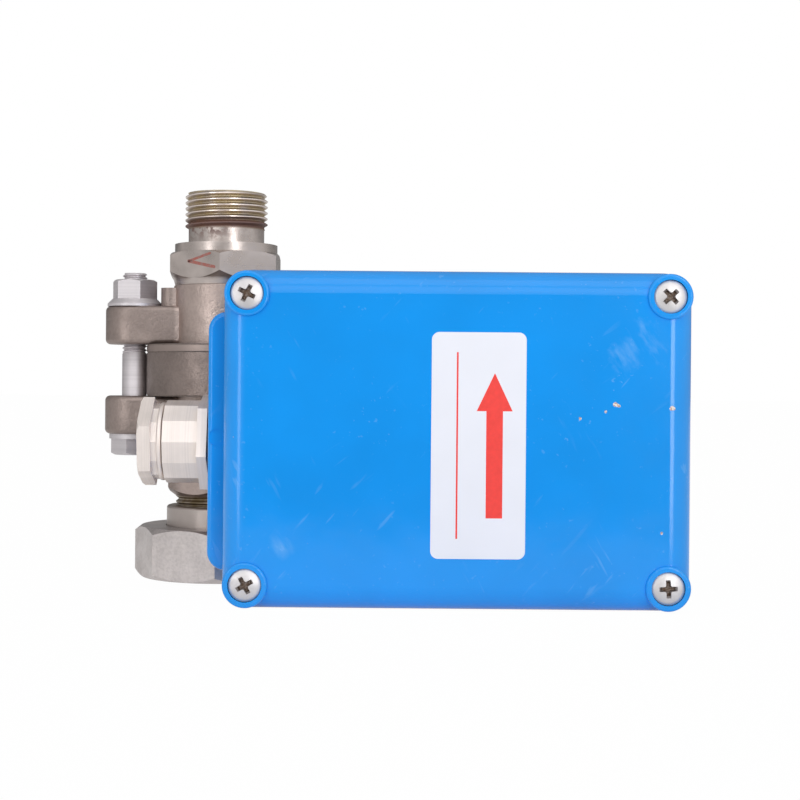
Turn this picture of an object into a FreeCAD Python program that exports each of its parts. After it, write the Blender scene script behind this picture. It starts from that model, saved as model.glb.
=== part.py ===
"""In-line flow monitor: a pipe section with an orifice plate beside a diaphragm switch in a cast box.

Frame: the flow line runs up +Z, the box cover looks along -Y and the box lies on the +X side.
The origin is on the flow axis at the lower mouth of the union nut. Lengths are in millimetres.
Depths inside the box are counted from the flow axis towards the cover, that is along -Y.
"""
import FreeCAD
import Part
import math
import os
import re
import Sketcher
from FreeCAD import Placement, Rotation, Vector

# Driving dimensions: name, value, what it is
SIZES = [
    ("bore_radius", 9.5, "flow passage"),
    ("thread_gap", 0.05, "radial room between a screwed pair"),
    ("run_gap", 0.05, "radial room between a shaft and its bush"),
    ("free_gap", 0.35, "room between pieces that pass each other"),
    ("gasket_thickness", 0.4, "flat gaskets of the flow line"),
    ("gasket_radius", 16.8, "outside of those gaskets"),
    # Union nut
    ("nut_flats", 54.0, "across flats, eight sides"),
    ("nut_height", 16.4, "overall"),
    ("nut_thread_radius", 20.95, "threaded mouth"),
    ("nut_thread_depth", 8.6, "length of that thread"),
    ("nut_web", 4.4, "inner shoulder"),
    ("union_turn", 23.2, "turn of the nut as drawn, degrees"),
    ("union_chamfer", 2.4, "corner chamfer, radial"),
    ("union_bevel", 38.0, "slope of that chamfer, degrees"),
    ("nut_chamfer", 1.9, "corner chamfer of smaller hexagons, radial"),
    ("nut_bevel", 30.0, "slope of those chamfers, degrees"),
    # Lower nipple
    ("nipple_seat", 9.0, "sealing face above the nut's mouth"),
    ("nipple_length", 13.9, "smooth part"),
    ("nipple_radius", 18.7, "smooth part"),
    ("nipple_collar_radius", 20.4, "collar that the nut pulls on"),
    ("nipple_flat", 17.5, "spanner flats, from the axis"),
    ("nipple_rim", 1.3, "rim above the flats"),
    ("nipple_round", 0.8, "rounded edge of that rim"),
    ("nipple_thread_radius", 15.8, "screwed end"),
    ("thread_show", 3.3, "length of that thread left showing"),
    ("thread_engaged", 11.5, "length of that thread in the cap"),
    ("seal_radius", 14.0, "middle of the end seal"),
    ("seal_width", 2.4, "end seal section"),
    # Cast end caps
    ("lower_cap_length", 32.4, "overall"),
    ("upper_cap_length", 19.4, "overall"),
    ("cap_hex_flats", 34.3, "spanner end of the lower cap"),
    ("cap_hex_height", 10.5, "spanner end of the lower cap"),
    ("cap_hex_chamfer", 3.8, "its corner chamfer, radial"),
    ("cap_bevel", 38.0, "slope of that chamfer, degrees"),
    ("neck_radius", 17.0, "round body of both caps"),
    ("ear_thickness", 12.5, "ears for the tie bolts"),
    ("ear_radius", 9.4, "ears for the tie bolts"),
    ("ear_round", 1.6, "rounded edge of an ear"),
    ("bolt_offset", 30.0, "tie bolt from the flow axis"),
    ("shoulder_reach", 20.8, "cast shoulder beside the neck"),
    ("shoulder_width", 14.0, "cast shoulder beside the neck"),
    ("shoulder_height", 6.0, "cast shoulder above the ear"),
    ("shoulder_round", 3.2, "its rounded corners"),
    ("neck_round", 0.4, "rounded end of the neck"),
    # Metering body and orifice plate
    ("meter_length", 13.6, "along the flow"),
    ("arm_gap", 0.4, "room between the ears and the flange screws"),
    ("arm_width", 21.0, "arm, front to back"),
    ("pad_thickness", 4.0, "flange at the end of the arm"),
    ("pad_height", 29.0, "flange at the end of the arm"),
    ("pad_screw_across", 14.0, "flange screws, front to back"),
    ("pad_screw_up", 21.0, "flange screws, up and down"),
    ("pad_screw_radius", 2.0, "flange screws"),
    ("pad_head_radius", 3.2, "flange screw heads"),
    ("pad_head", 3.2, "flange screw heads"),
    ("pad_bite", 7.6, "flange screw length in the rear housing"),
    ("port_radius", 1.2, "pressure drillings"),
    ("port_offset", 6.5, "pressure drillings, in front of and behind the axis"),
    ("port_drop", 4.0, "pressure drillings below the middle of the body"),
    ("tap_reach", 12.0, "riser of the low pressure drilling"),
    ("link_inset", 4.8, "joining drilling inside the clamp bolt circle"),
    ("plate_thickness", 2.0, "orifice plate"),
    ("orifice_radius", 6.0, "sharp edged hole"),
    ("orifice_flare", 1.2, "bevel behind that hole"),
    # Upper nipple
    ("hex_flats", 34.3, "spanner hexagon"),
    ("hex_height", 8.75, "spanner hexagon"),
    ("hex_fall", 2.6, "height of its sloping lower corners"),
    ("hex_taper", 1.9, "cone under the hexagon"),
    ("hex_foot_radius", 16.6, "lower end of that cone"),
    ("washer_face_radius", 16.8, "round face above the hexagon"),
    ("washer_face_height", 2.9, "round face above the hexagon"),
    ("neck_length", 5.05, "undercut below the thread"),
    ("undercut_radius", 12.4, "undercut below the thread"),
    ("pipe_thread_radius", 13.5, "male pipe thread"),
    ("pipe_thread_length", 11.9, "male pipe thread"),
    ("pipe_chamfer", 0.9, "lead chamfer of that thread"),
    ("shank_radius", 13.2, "end screwed into the cap"),
    ("shank_length", 11.0, "end screwed into the cap"),
    # Tie bolts
    ("tie_radius", 4.0, "tie bolt"),
    ("tie_hole_gap", 0.4, "radial room in the ears"),
    ("tie_flats", 13.0, "head and nut across flats"),
    ("tie_head", 5.3, "head height"),
    ("tie_head_turn", -9.5, "turn of the heads as drawn, degrees"),
    ("tie_nut_height", 8.8, "flange nut"),
    ("tie_nut_turn", 22.0, "turn of the nuts as drawn, degrees"),
    ("tie_nut_flange", 2.5, "flange of the nut"),
    ("tie_flange_cone", 1.6, "sloping top of that flange"),
    ("tie_flange_radius", 8.9, "flange of the nut"),
    ("tie_washer_radius", 8.0, "washer under the head"),
    ("tie_washer", 1.6, "washer thickness"),
    ("tie_end", 2.2, "bolt end past its nut"),
    ("tie_chamfer", 0.5, "lead chamfer of the bolt end"),
    # Box
    ("box_drop", 19.0, "middle of the box below the middle of the metering body"),
    ("box_width", 137.2, "cover"),
    ("box_height", 99.2, "cover"),
    ("back_stand", 29.8, "back of the box in front of the flow axis"),
    ("base_depth", 23.5, "base, without its chamber ring"),
    ("base_inset", 0.5, "base inside the cover's edge"),
    ("lid_depth", 10.8, "cover"),
    ("lid_draft", 2.0, "draft of the cover, degrees"),
    ("lid_round", 7.0, "rounded front edge"),
    ("lid_gasket", 1.2, "cover gasket"),
    ("wall", 3.2, "side walls"),
    ("floor_thickness", 3.0, "floor of the base and face of the cover"),
    ("corner_round", 8.5, "corners of the box"),
    ("post", 9.2, "square corner post, from the inside of the wall"),
    ("screw_inset", 7.35, "cover screws from the edges"),
    ("screw_radius", 2.5, "cover screws"),
    ("screw_bite", 9.0, "screw length in the base"),
    ("screw_head_radius", 4.8, "cover screw heads"),
    ("screw_head", 3.2, "cover screw heads"),
    ("screw_head_round", 1.3, "rounded top of those heads"),
    ("boss_radius", 6.6, "raised corner boss"),
    ("boss_rise", 1.1, "boss above the cover's face"),
    ("boss_sink", 3.0, "seat of the head below the top of the boss"),
    ("boss_mouth", 0.12, "radial room round the head"),
    ("ledge_reach", 5.2, "gland wall past the cover's left edge"),
    ("ledge_drop", 1.05, "middle of the gland wall below the middle of the box"),
    ("ledge_height", 76.9, "gland wall"),
    ("ledge_round", 5.5, "corners of the gland wall"),
    ("ledge_edge", 1.4, "rounded front edge of the gland wall"),
    ("ledge_mark", 2.5, "round casting mark on the gland wall"),
    ("mark_depth", 0.4, "depth of that mark"),
    # Diaphragm chamber
    ("ring_stand", 5.35, "clamping rings from the end of the arm"),
    ("chamber_inset", 52.2, "chamber axis from the right edge of the cover"),
    ("chamber_radius", 25.0, "pressure chambers"),
    ("ring_radius", 38.5, "clamping rings"),
    ("ring_depth", 14.0, "ring behind the base"),
    ("front_chamber", 11.0, "depth of the low pressure chamber"),
    ("diaphragm_thickness", 1.5, "rubber"),
    ("roll_depth", 3.0, "convolution of the diaphragm"),
    ("disc_radius", 16.0, "support discs"),
    ("disc_thickness", 2.0, "support discs"),
    ("rear_flange", 6.0, "flange of the rear housing"),
    ("rear_chamber", 23.5, "depth of the high pressure chamber"),
    ("rear_wall", 3.5, "wall of the rear housing"),
    ("rear_round", 3.0, "rounded back edge"),
    ("clamp_circle", 33.3, "radius of the clamp bolt circle"),
    ("clamp_count", 8, "clamp bolts"),
    ("clamp_radius", 2.5, "clamp bolts"),
    ("clamp_flats", 8.0, "clamp bolt heads"),
    ("clamp_head", 3.5, "clamp bolt heads"),
    ("clamp_bite", 10.0, "clamp bolt length in the ring"),
    ("hole_gap", 0.25, "radial room of a plain screw hole"),
    # Stem
    ("stem_radius", 3.0, "stem"),
    ("stem_collar_radius", 5.5, "collar against the front disc"),
    ("stem_collar", 2.5, "collar against the front disc"),
    ("stem_nose", 1.3, "rounded nose that meets the lever"),
    ("nose_length", 1.2, "rounded nose that meets the lever"),
    ("stem_tail", 1.2, "stem end past its nut"),
    ("stem_nut_flats", 10.0, "nut behind the discs"),
    ("stem_nut", 3.0, "nut behind the discs"),
    ("bush_radius", 6.0, "guide bush"),
    ("bush_flange_radius", 8.5, "flange of the bush"),
    ("bush_flange", 1.5, "flange of the bush"),
    ("bush_stand", 3.3, "bush above the floor"),
    ("ring_seal", 1.6, "section of the stem seal"),
    # Lever works
    ("stud_height", 1.5, "studs under the frame"),
    ("stud_radius", 3.6, "studs under the frame"),
    ("sheet", 1.5, "sheet steel of the frame"),
    ("frame_half", 38.0, "half the length of the frame"),
    ("frame_width", 19.0, "over the side walls"),
    ("foot_length", 8.0, "feet of the frame"),
    ("foot_span", 32.0, "feet of the frame, over both"),
    ("foot_screw_span", 25.0, "foot screws, up and down"),
    ("foot_screw_radius", 1.5, "foot screws"),
    ("foot_head_radius", 2.8, "foot screw heads"),
    ("foot_head", 2.0, "foot screw heads"),
    ("foot_bite", 3.4, "foot screw length in the base"),
    ("pivot_wall", 12.0, "side wall at the pivot"),
    ("bridge_height", 19.0, "bridge above the studs"),
    ("bridge_width", 18.0, "bridge over the lever"),
    ("switch_wall", 21.0, "side wall at the switch"),
    ("pivot_arm", 30.0, "pivot to stem"),
    ("plunger_arm", 22.0, "stem to switch plunger"),
    ("lever_height", 6.7, "underside of the lever above the floor"),
    ("lever_gap", 0.2, "stem to lever at rest"),
    ("lever_thickness", 2.0, "lever"),
    ("lever_width", 12.0, "lever"),
    ("lever_tail", 6.0, "lever past the plunger"),
    ("lever_round", 3.0, "rounded corners of the lever's end"),
    ("hub_radius", 3.4, "lever hub"),
    ("pin_radius", 1.5, "pivot pin"),
    ("pin_head_radius", 2.6, "pivot pin head"),
    ("pin_head", 1.2, "pivot pin head"),
    ("spring_radius", 4.6, "middle of the range spring's wire"),
    ("spring_wire", 1.1, "wire of the range spring"),
    ("spring_turns", 4, "coils"),
    ("seat_radius", 5.8, "spring seat"),
    ("seat_thickness", 1.3, "spring seat"),
    ("setting_radius", 3.0, "setting screw"),
    ("dial_radius", 11.0, "setting dial"),
    ("dial_thickness", 0.6, "setting dial"),
    ("knob_radius", 8.6, "setting knob"),
    ("knob_height", 5.6, "setting knob"),
    ("knob_grips", 12, "grip flutes"),
    ("flute_radius", 1.2, "grip flutes"),
    ("pointer_width", 1.2, "pointer groove in the knob"),
    ("pointer_depth", 0.7, "pointer groove in the knob"),
    # Switch
    ("switch_length", 27.8, "microswitch"),
    ("switch_depth", 15.9, "microswitch"),
    ("switch_thickness", 10.3, "microswitch"),
    ("switch_round", 0.8, "its rounded corners"),
    ("plunger_inset", 10.0, "plunger from the switch's end"),
    ("plunger_radius", 1.4, "plunger"),
    ("plunger_show", 3.4, "plunger out of the switch"),
    ("plunger_sunk", 4.2, "plunger inside the switch"),
    ("plunger_room", 2.4, "room behind the plunger"),
    ("shelf_length", 7.0, "terminal shelf"),
    ("shelf_drop", 7.6, "terminal shelf"),
    ("terminal_radius", 1.4, "terminal screws"),
    ("terminal_height", 1.6, "terminal screws"),
    ("terminal_pitch", 3.3, "terminal screws"),
    ("switch_screw_radius", 1.4, "switch screws"),
    ("switch_screw_span", 21.0, "switch screws"),
    ("switch_screw_inset", 3.4, "switch screws from the switch's end"),
    ("switch_screw_rise", 5.0, "switch screws above the plunger's face"),
    ("switch_head_radius", 2.6, "switch screw heads"),
    ("switch_head", 1.8, "switch screw heads"),
    # Earth terminal
    ("earth_left", 24.0, "earth screw from the cover's left edge"),
    ("earth_drop", 28.0, "earth screw below the middle of the box"),
    ("earth_boss_radius", 5.0, "its boss"),
    ("earth_boss", 4.0, "its boss"),
    ("earth_radius", 2.0, "its thread"),
    ("earth_bite", 4.5, "its thread"),
    ("earth_head_radius", 3.8, "its head"),
    ("earth_head", 2.6, "its head"),
    ("earth_washer", 0.9, "its washer"),
    ("earth_washer_radius", 4.6, "its washer"),
    # Cable gland
    ("gland_depth", 33.0, "gland axis in front of the flow axis"),
    ("gland_drop", 2.0, "gland axis below the middle of the box"),
    ("gland_wall_radius", 13.5, "cast boss round the entry"),
    ("gland_boss", 19.0, "length of that boss"),
    ("gland_thread_radius", 10.0, "entry thread"),
    ("gland_thread", 9.0, "length of the entry thread"),
    ("entry_radius", 8.0, "opening behind the thread"),
    ("entry_wall", 4.0, "closed end of the boss"),
    ("gland_washer", 1.2, "sealing washer"),
    ("gland_washer_radius", 13.0, "sealing washer"),
    ("gland_hex_flats", 26.0, "gland body"),
    ("gland_hex", 3.0, "gland body"),
    ("gland_hex_turn", -16.0, "turn of that hexagon as drawn, degrees"),
    ("gland_barrel", 24.6, "twelve sided barrel, across flats"),
    ("gland_barrel_length", 10.6, "twelve sided barrel"),
    ("gland_barrel_turn", 16.0, "turn of the barrel as drawn, degrees"),
    ("gland_bore", 6.5, "cable passage"),
    ("gland_nose_radius", 9.4, "thread under the cap"),
    ("gland_nose", 5.2, "thread under the cap"),
    ("cone_radius", 8.0, "seat of the rubber"),
    ("cone_depth", 4.6, "seat of the rubber"),
    ("rubber_bore", 5.0, "cable hole in the rubber"),
    ("rubber_length", 5.4, "rubber"),
    ("cap_lip_radius", 12.0, "round lip of the cap"),
    ("cap_lip", 1.5, "round lip of the cap"),
    ("cap_ring_flats", 22.5, "twelve sided ring of the cap, across flats"),
    ("cap_ring", 1.75, "twelve sided ring of the cap"),
    ("cap_flats", 24.0, "cap across flats"),
    ("cap_hex", 4.0, "cap"),
    ("cap_turn", 21.0, "turn of the cap as drawn, degrees"),
    ("cap_chamfer", 1.0, "cap"),
]

# Places that follow from the sizes. Levels run up the flow line, depths run towards the cover.
PLACES = {
    "nipple_shoulder": "nipple_seat + nipple_length",
    "lower_foot": "nipple_shoulder + thread_show",
    "lower_top": "lower_foot + lower_cap_length",
    "meter_foot": "lower_top + gasket_thickness",
    "meter_top": "meter_foot + meter_length",
    "meter_mid": "meter_foot + meter_length / 2",
    "plate_foot": "meter_top + gasket_thickness",
    "plate_top": "plate_foot + plate_thickness",
    "upper_foot": "plate_top + gasket_thickness",
    "upper_top": "upper_foot + upper_cap_length",
    "lower_ear": "lower_top - ear_thickness",
    "upper_ear": "upper_foot + ear_thickness",
    "port_level": "meter_mid - port_drop",
    "box_mid": "meter_mid - box_drop",
    "meter_radius": "bolt_offset - tie_radius - free_gap",
    "arm_reach": "bolt_offset + ear_radius + arm_gap + pad_head + pad_thickness",
    "chamber_offset": "arm_reach + ring_radius + ring_stand",
    "box_left": "chamber_offset + chamber_inset - box_width",
    "box_centre": "box_left + box_width / 2",
    "rim": "back_stand + base_depth",
    "lid_foot": "rim + lid_gasket",
    "face": "lid_foot + lid_depth",
    "head_seat": "face + boss_rise - boss_sink",
    "box_floor": "back_stand + floor_thickness",
    "screw_across": "box_width / 2 - screw_inset",
    "screw_up": "box_height / 2 - screw_inset",
    "cavity_across": "box_width / 2 - base_inset - wall",
    "cavity_up": "box_height / 2 - base_inset - wall",
    "gland_wall": "ledge_reach - box_left",
    "ledge_level": "box_mid - ledge_drop",
    "gland_level": "box_mid - gland_drop",
    "ring_back": "back_stand - ring_depth",
    "diaphragm_back": "ring_back - diaphragm_thickness",
    "flange_back": "diaphragm_back - rear_flange",
    "chamber_end": "diaphragm_back - rear_chamber",
    "chamber_roof": "ring_back + front_chamber",
    "link_reach": "chamber_offset - clamp_circle + link_inset",
    "stud_top": "box_floor + stud_height",
    "frame_top": "stud_top + sheet",
    "lever_under": "box_floor + lever_height",
    "lever_over": "lever_under + lever_thickness",
    "pivot_depth": "lever_under + lever_thickness / 2",
    "stem_end": "lever_under - lever_gap",
    "bridge_under": "stud_top + bridge_height",
    "bridge_over": "bridge_under + sheet",
    "seat_under": "bridge_under - seat_thickness - free_gap",
    "spring_foot": "lever_over + free_gap / 2",
    "knob_under": "bridge_over + dial_thickness + free_gap",
    "switch_under": "lever_over + free_gap + plunger_show",
    "switch_side": "frame_width / 2 - sheet",
}

VALUES = {name: value for name, value, note in SIZES}
TO_FRONT = Rotation(Vector(1, 0, 0), 90)
TO_LEFT = Rotation(Vector(0, 1, 0), -90)
AS_IS = Rotation()
# An edge nearer than this to a level lies on it
CLOSE = 1e-3
# An edge that goes one way for this share of its length runs that way
MOSTLY = 0.7

doc = FreeCAD.newDocument("flow_monitor")
sheet = doc.addObject("Spreadsheet::Sheet", "Sizes")
for row, (name, value, note) in enumerate(SIZES, 1):
    sheet.set(f"A{row}", note)
    sheet.set(f"B{row}", str(value))
    sheet.setAlias(f"B{row}", name)
doc.recompute()
nodes = []


def cells(text):
    """An expression over the named sizes and places, written with the sheet's cells."""
    def swap(match):
        word = match.group(0)
        if word in PLACES:
            return f"({cells(PLACES[word])})"
        return f"Sizes.{word}" if word in VALUES else word
    return re.sub(r"[a-z_]+", swap, text)


def number(text):
    """The present value of such an expression."""
    return float(sheet.evalExpression(cells(text)))


def new_body(name, turn=AS_IS, at=("0", "0", "0")):
    """An empty body that becomes one node, placed in the frame."""
    body = doc.addObject("PartDesign::Body", name)
    body.Label = name
    body.AllowCompound = True
    body.Placement = Placement(Vector(), turn)
    for axis, text in zip("xyz", at):
        body.setExpression(f"Placement.Base.{axis}", cells(text))
    nodes.append(body)
    return body


def new_sketch(body, plane="XY", level="0"):
    """A sketch on one of the body's own planes, raised by level along the plane's normal."""
    sketch = body.newObject("Sketcher::SketchObject", body.Name + "_sketch")
    support = next(item for item in body.Origin.OriginFeatures if item.Role == plane + "_Plane")
    sketch.AttachmentSupport = [(support, "")]
    sketch.MapMode = "FlatFace"
    sketch.setExpression("AttachmentOffset.Base.z", cells(level))
    return sketch


def tie(sketch, kind, place, text):
    """A dimension of the sketch that follows the sheet."""
    index = sketch.addConstraint(Sketcher.Constraint(kind, *place, number(text)))
    sketch.setExpression(f"Constraints[{index}]", cells(text))


def tie_point(sketch, line, end, x, y):
    tie(sketch, "DistanceX", (-1, 1, line, end), x)
    tie(sketch, "DistanceY", (-1, 1, line, end), y)


def loop(sketch, points):
    """A closed outline of straight lines through points, each an (x, y) pair of expressions."""
    first = sketch.GeometryCount
    spots = [Vector(number(x), number(y), 0) for x, y in points]
    for start, end in zip(spots, spots[1:] + spots[:1]):
        sketch.addGeometry(Part.LineSegment(start, end))
    for index, (x, y) in enumerate(points):
        following = first + (index + 1) % len(points)
        sketch.addConstraint(Sketcher.Constraint("Coincident", first + index, 2, following, 1))
        tie_point(sketch, first + index, 1, x, y)
    return sketch


def circle(sketch, radius, x="0", y="0"):
    middle = Vector(number(x), number(y), 0)
    line = sketch.addGeometry(Part.Circle(middle, Vector(0, 0, 1), number(radius)))
    tie(sketch, "Radius", (line,), radius)
    tie_point(sketch, line, 3, x, y)
    return sketch


def rectangle(sketch, left, right, low, high):
    return loop(sketch, [(left, low), (right, low), (right, high), (left, high)])


def polygon(sketch, sides, flats, x="0", y="0", turn="0"):
    """A regular polygon by its width across flats, with a flat facing +x unless turned (degrees)."""
    grow = 0.5 / math.cos(math.pi / sides)
    corners = []
    for index in range(sides):
        angle = f"{360 * (index + 0.5) / sides} + {turn}"
        corners.append((f"{x} + {flats} * {grow} * cos(({angle}) * 1deg)",
                        f"{y} + {flats} * {grow} * sin(({angle}) * 1deg)"))
    return loop(sketch, corners)


def stadium(sketch, half, radius):
    """Two half circles of that radius about (-half, 0) and (half, 0), joined by straight sides."""
    reach, size = number(half), number(radius)
    ends = [Vector(x * reach, y * size, 0) for x, y in ((-1, -1), (1, -1), (1, 1), (-1, 1))]
    sketch.addGeometry(Part.LineSegment(ends[0], ends[1]))
    sketch.addGeometry(Part.Arc(ends[1], Vector(reach + size, 0, 0), ends[2]))
    sketch.addGeometry(Part.LineSegment(ends[2], ends[3]))
    sketch.addGeometry(Part.Arc(ends[3], Vector(-reach - size, 0, 0), ends[0]))
    for index in range(4):
        sketch.addConstraint(Sketcher.Constraint("Tangent", index, 2, (index + 1) % 4, 1))
    tie_point(sketch, 1, 3, half, "0")
    tie_point(sketch, 3, 3, f"-{half}", "0")
    tie(sketch, "Radius", (1,), radius)
    return sketch


def settle(made):
    """Work out a feature, and stop where it can't be made."""
    doc.recompute()
    if {"Invalid", "Error"} & set(made.State) or made.Shape.isNull() or not made.Shape.isValid():
        raise RuntimeError(f"{made.Label} failed to build: {made.State}")


def feature(body, kind, sketch, **settings):
    made = body.newObject("PartDesign::" + kind, body.Name + "_" + kind.lower())
    made.Profile = sketch
    for name, value in settings.items():
        setattr(made, name, value)
    return made


def pad(body, sketch, length, draft=None):
    """Material raised from the sketch along its normal, widening with the draft if one is given."""
    made = feature(body, "Pad", sketch)
    made.setExpression("Length", cells(length))
    if draft:
        made.setExpression("TaperAngle", cells(draft))
    settle(made)
    return made


def cut(body, sketch, length, upward=False):
    """Material taken away below the sketch, or above it."""
    before = body.Shape.Volume
    made = feature(body, "Pocket", sketch, Reversed=upward)
    made.setExpression("Length", cells(length))
    settle(made)
    if made.Shape.Volume > before - 1e-6:
        raise RuntimeError(f"a cut in {body.Label} takes nothing away")
    return made


def turned(body, points):
    """A solid of revolution about the body's own axis, from (radius, height) points."""
    sketch = loop(new_sketch(body, "XZ"), points)
    settle(feature(body, "Revolution", sketch, ReferenceAxis=(sketch, ["V_Axis"]), Angle=360))


def turned_cut(body, points):
    sketch = loop(new_sketch(body, "XZ"), points)
    settle(feature(body, "Groove", sketch, ReferenceAxis=(sketch, ["V_Axis"]), Angle=360))


def tube(name, turn, at, inner, outer, foot, top):
    """A plain ring of square section."""
    body = new_body(name, turn, at)
    turned(body, [(inner, foot), (outer, foot), (outer, top), (inner, top)])
    return body


def drill(body, spots, radius, level, depth, plane="XY", upward=False):
    """Round holes of one size, sunk below level or cut above it."""
    sketch = new_sketch(body, plane, level)
    for x, y in spots:
        circle(sketch, radius, x, y)
    return cut(body, sketch, depth, upward)


def discs(body, spots, radius, level, height, plane="XY"):
    """Round pads of one size that stand on level."""
    sketch = new_sketch(body, plane, level)
    for x, y in spots:
        circle(sketch, radius, x, y)
    return pad(body, sketch, height)


def hexagons(body, spots, flats, level, height, turn="0"):
    sketch = new_sketch(body, "XY", level)
    for x, y in spots:
        polygon(sketch, 6, flats, x, y, turn)
    return pad(body, sketch, height)


def chamfer_corners(body, sides, flats, size, level, way, bevel="nut_bevel"):
    """The sloping corners round a nut's face on that level, cut upwards (way 1) or downwards (way -1)."""
    corner = f"{flats} / 2 / cos(180 / {sides} * 1deg)"
    outside = f"{corner} + free_gap"
    fall = f"({size} + free_gap) * tan({bevel} * 1deg)"
    turned_cut(body, [(f"{corner} - {size}", level), (outside, level),
                      (outside, f"{level} + {way} * {fall}")])


def edges_where(shape, test):
    return [f"Edge{index}" for index, edge in enumerate(shape.Edges, 1) if test(edge)]


def dress(body, kind, size, test):
    """A fillet or chamfer on the edges of the body that pass the test."""
    base = body.Tip
    made = body.newObject("PartDesign::" + kind, body.Name + "_" + kind.lower())
    made.Base = (base, edges_where(base.Shape, test))
    made.setExpression("Radius" if kind == "Fillet" else "Size", cells(size))
    settle(made)
    return made


def flat_at(height):
    """A test for edges that lie in the body's own level plane at that height."""
    level = number(height)
    return lambda edge: max(abs(edge.BoundBox.ZMin - level), abs(edge.BoundBox.ZMax - level)) < CLOSE


def upright(edge):
    """A test for edges that rise nearly straight up."""
    return edge.BoundBox.ZLength > MOSTLY * edge.Length


def both_sides(across, up):
    """The four corners of a rectangle about the centre of the box."""
    return [(f"box_centre + {side} * ({across})", f"box_mid + {rise} * ({up})")
            for side in (-1, 1) for rise in (-1, 1)]


def clamp_spots():
    """The clamp bolts round the chamber axis."""
    count = int(VALUES["clamp_count"])
    return [(f"clamp_circle * cos({360 * index} / clamp_count * 1deg)",
             f"clamp_circle * sin({360 * index} / clamp_count * 1deg)") for index in range(count)]


def round_edge(radius, height):
    """A test for full circles of that radius at that height."""
    size, level = number(radius), flat_at(height)

    def test(edge):
        if edge.Curve.TypeId != "Part::GeomCircle":
            return False
        return level(edge) and abs(edge.Curve.Radius - size) < CLOSE
    return test


TIE_SPOTS = [("-bolt_offset", "0"), ("bolt_offset", "0")]
BOX_SCREWS = both_sides("screw_across", "screw_up")
AT_CHAMBER = ("chamber_offset", "0", "box_mid")


# Flow line, from the bottom up

def make_union_nut():
    body = new_body("union_nut")
    pad(body, polygon(new_sketch(body), 8, "nut_flats", turn="union_turn"), "nut_height")
    chamfer_corners(body, 8, "nut_flats", "union_chamfer", "0", 1, "union_bevel")
    chamfer_corners(body, 8, "nut_flats", "union_chamfer", "nut_height", -1, "union_bevel")
    drill(body, [("0", "0")], "nut_thread_radius", "0", "nut_thread_depth", upward=True)
    drill(body, [("0", "0")], "nut_thread_radius + 2 * free_gap", "nut_height - nut_web",
          "nut_height - nut_web - nut_thread_depth")
    drill(body, [("0", "0")], "nipple_radius + free_gap", "nut_height", "nut_web")


def make_lower_nipple():
    body = new_body("lower_nipple")
    collar_top = "nut_height - nut_web - free_gap"
    turned(body, [("bore_radius", "nipple_seat"), ("nipple_collar_radius", "nipple_seat"),
                  ("nipple_collar_radius", collar_top), ("nipple_radius", collar_top),
                  ("nipple_radius", "nipple_shoulder"), ("nipple_thread_radius", "nipple_shoulder"),
                  ("nipple_thread_radius", "lower_foot + thread_engaged"),
                  ("bore_radius", "lower_foot + thread_engaged")])
    inner, outer = "seal_radius - seal_width / 2", "seal_radius + seal_width / 2"
    groove_top = "nipple_seat + seal_width"
    turned_cut(body, [(inner, "nipple_seat"), (outer, "nipple_seat"), (outer, groove_top),
                      (inner, groove_top)])
    flats_top = "nipple_shoulder - nipple_rim"
    flats = new_sketch(body, "XY", flats_top)
    reach = "nipple_radius + free_gap"
    rectangle(flats, f"-({reach})", reach, "nipple_flat", reach)
    rectangle(flats, f"-({reach})", reach, f"-({reach})", "-nipple_flat")
    cut(body, flats, f"{flats_top} - nut_height - free_gap")
    dress(body, "Fillet", "nipple_round", round_edge("nipple_radius", "nipple_shoulder"))
    dress(body, "Fillet", "free_gap", round_edge("nipple_collar_radius", "nipple_seat"))
    tube("union_seal", AS_IS, ("0", "0", "nipple_seat"), f"{inner} + thread_gap", f"{outer} - thread_gap",
         "0", "seal_width")


def add_ears(body, foot, shoulder_foot):
    """The two ears for the tie bolts and the cast shoulders between them and the neck."""
    pad(body, stadium(new_sketch(body, "XY", foot), "bolt_offset", "ear_radius"), "ear_thickness")
    low, high = flat_at(foot), flat_at(f"{foot} + ear_thickness")
    reach = number("shoulder_reach")
    dress(body, "Fillet", "ear_round", lambda edge: (low(edge) or high(edge)) and
          abs(edge.CenterOfMass.x) > reach)
    block = new_sketch(body, "XY", shoulder_foot)
    rectangle(block, "-shoulder_reach", "shoulder_reach", "-shoulder_width / 2", "shoulder_width / 2")
    pad(body, block, "shoulder_height")
    dress(body, "Fillet", "shoulder_round", lambda edge: upright(edge) and
          abs(abs(edge.CenterOfMass.x) - reach) < CLOSE)


def make_lower_cap():
    body = new_body("lower_cap", at=("0", "0", "lower_foot"))
    discs(body, [("0", "0")], "neck_radius", "0", "lower_cap_length")
    add_ears(body, "lower_cap_length - ear_thickness", "lower_cap_length - ear_thickness - shoulder_height")
    pad(body, polygon(new_sketch(body), 6, "cap_hex_flats"), "cap_hex_height")
    chamfer_corners(body, 6, "cap_hex_flats", "cap_hex_chamfer", "0", 1, "cap_bevel")
    drill(body, [("0", "0")], "nipple_thread_radius + thread_gap", "0", "thread_engaged", upward=True)
    drill(body, [("0", "0")], "bore_radius", "lower_cap_length", "lower_cap_length")
    drill(body, TIE_SPOTS, "tie_radius + tie_hole_gap", "lower_cap_length", "lower_cap_length")


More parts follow.
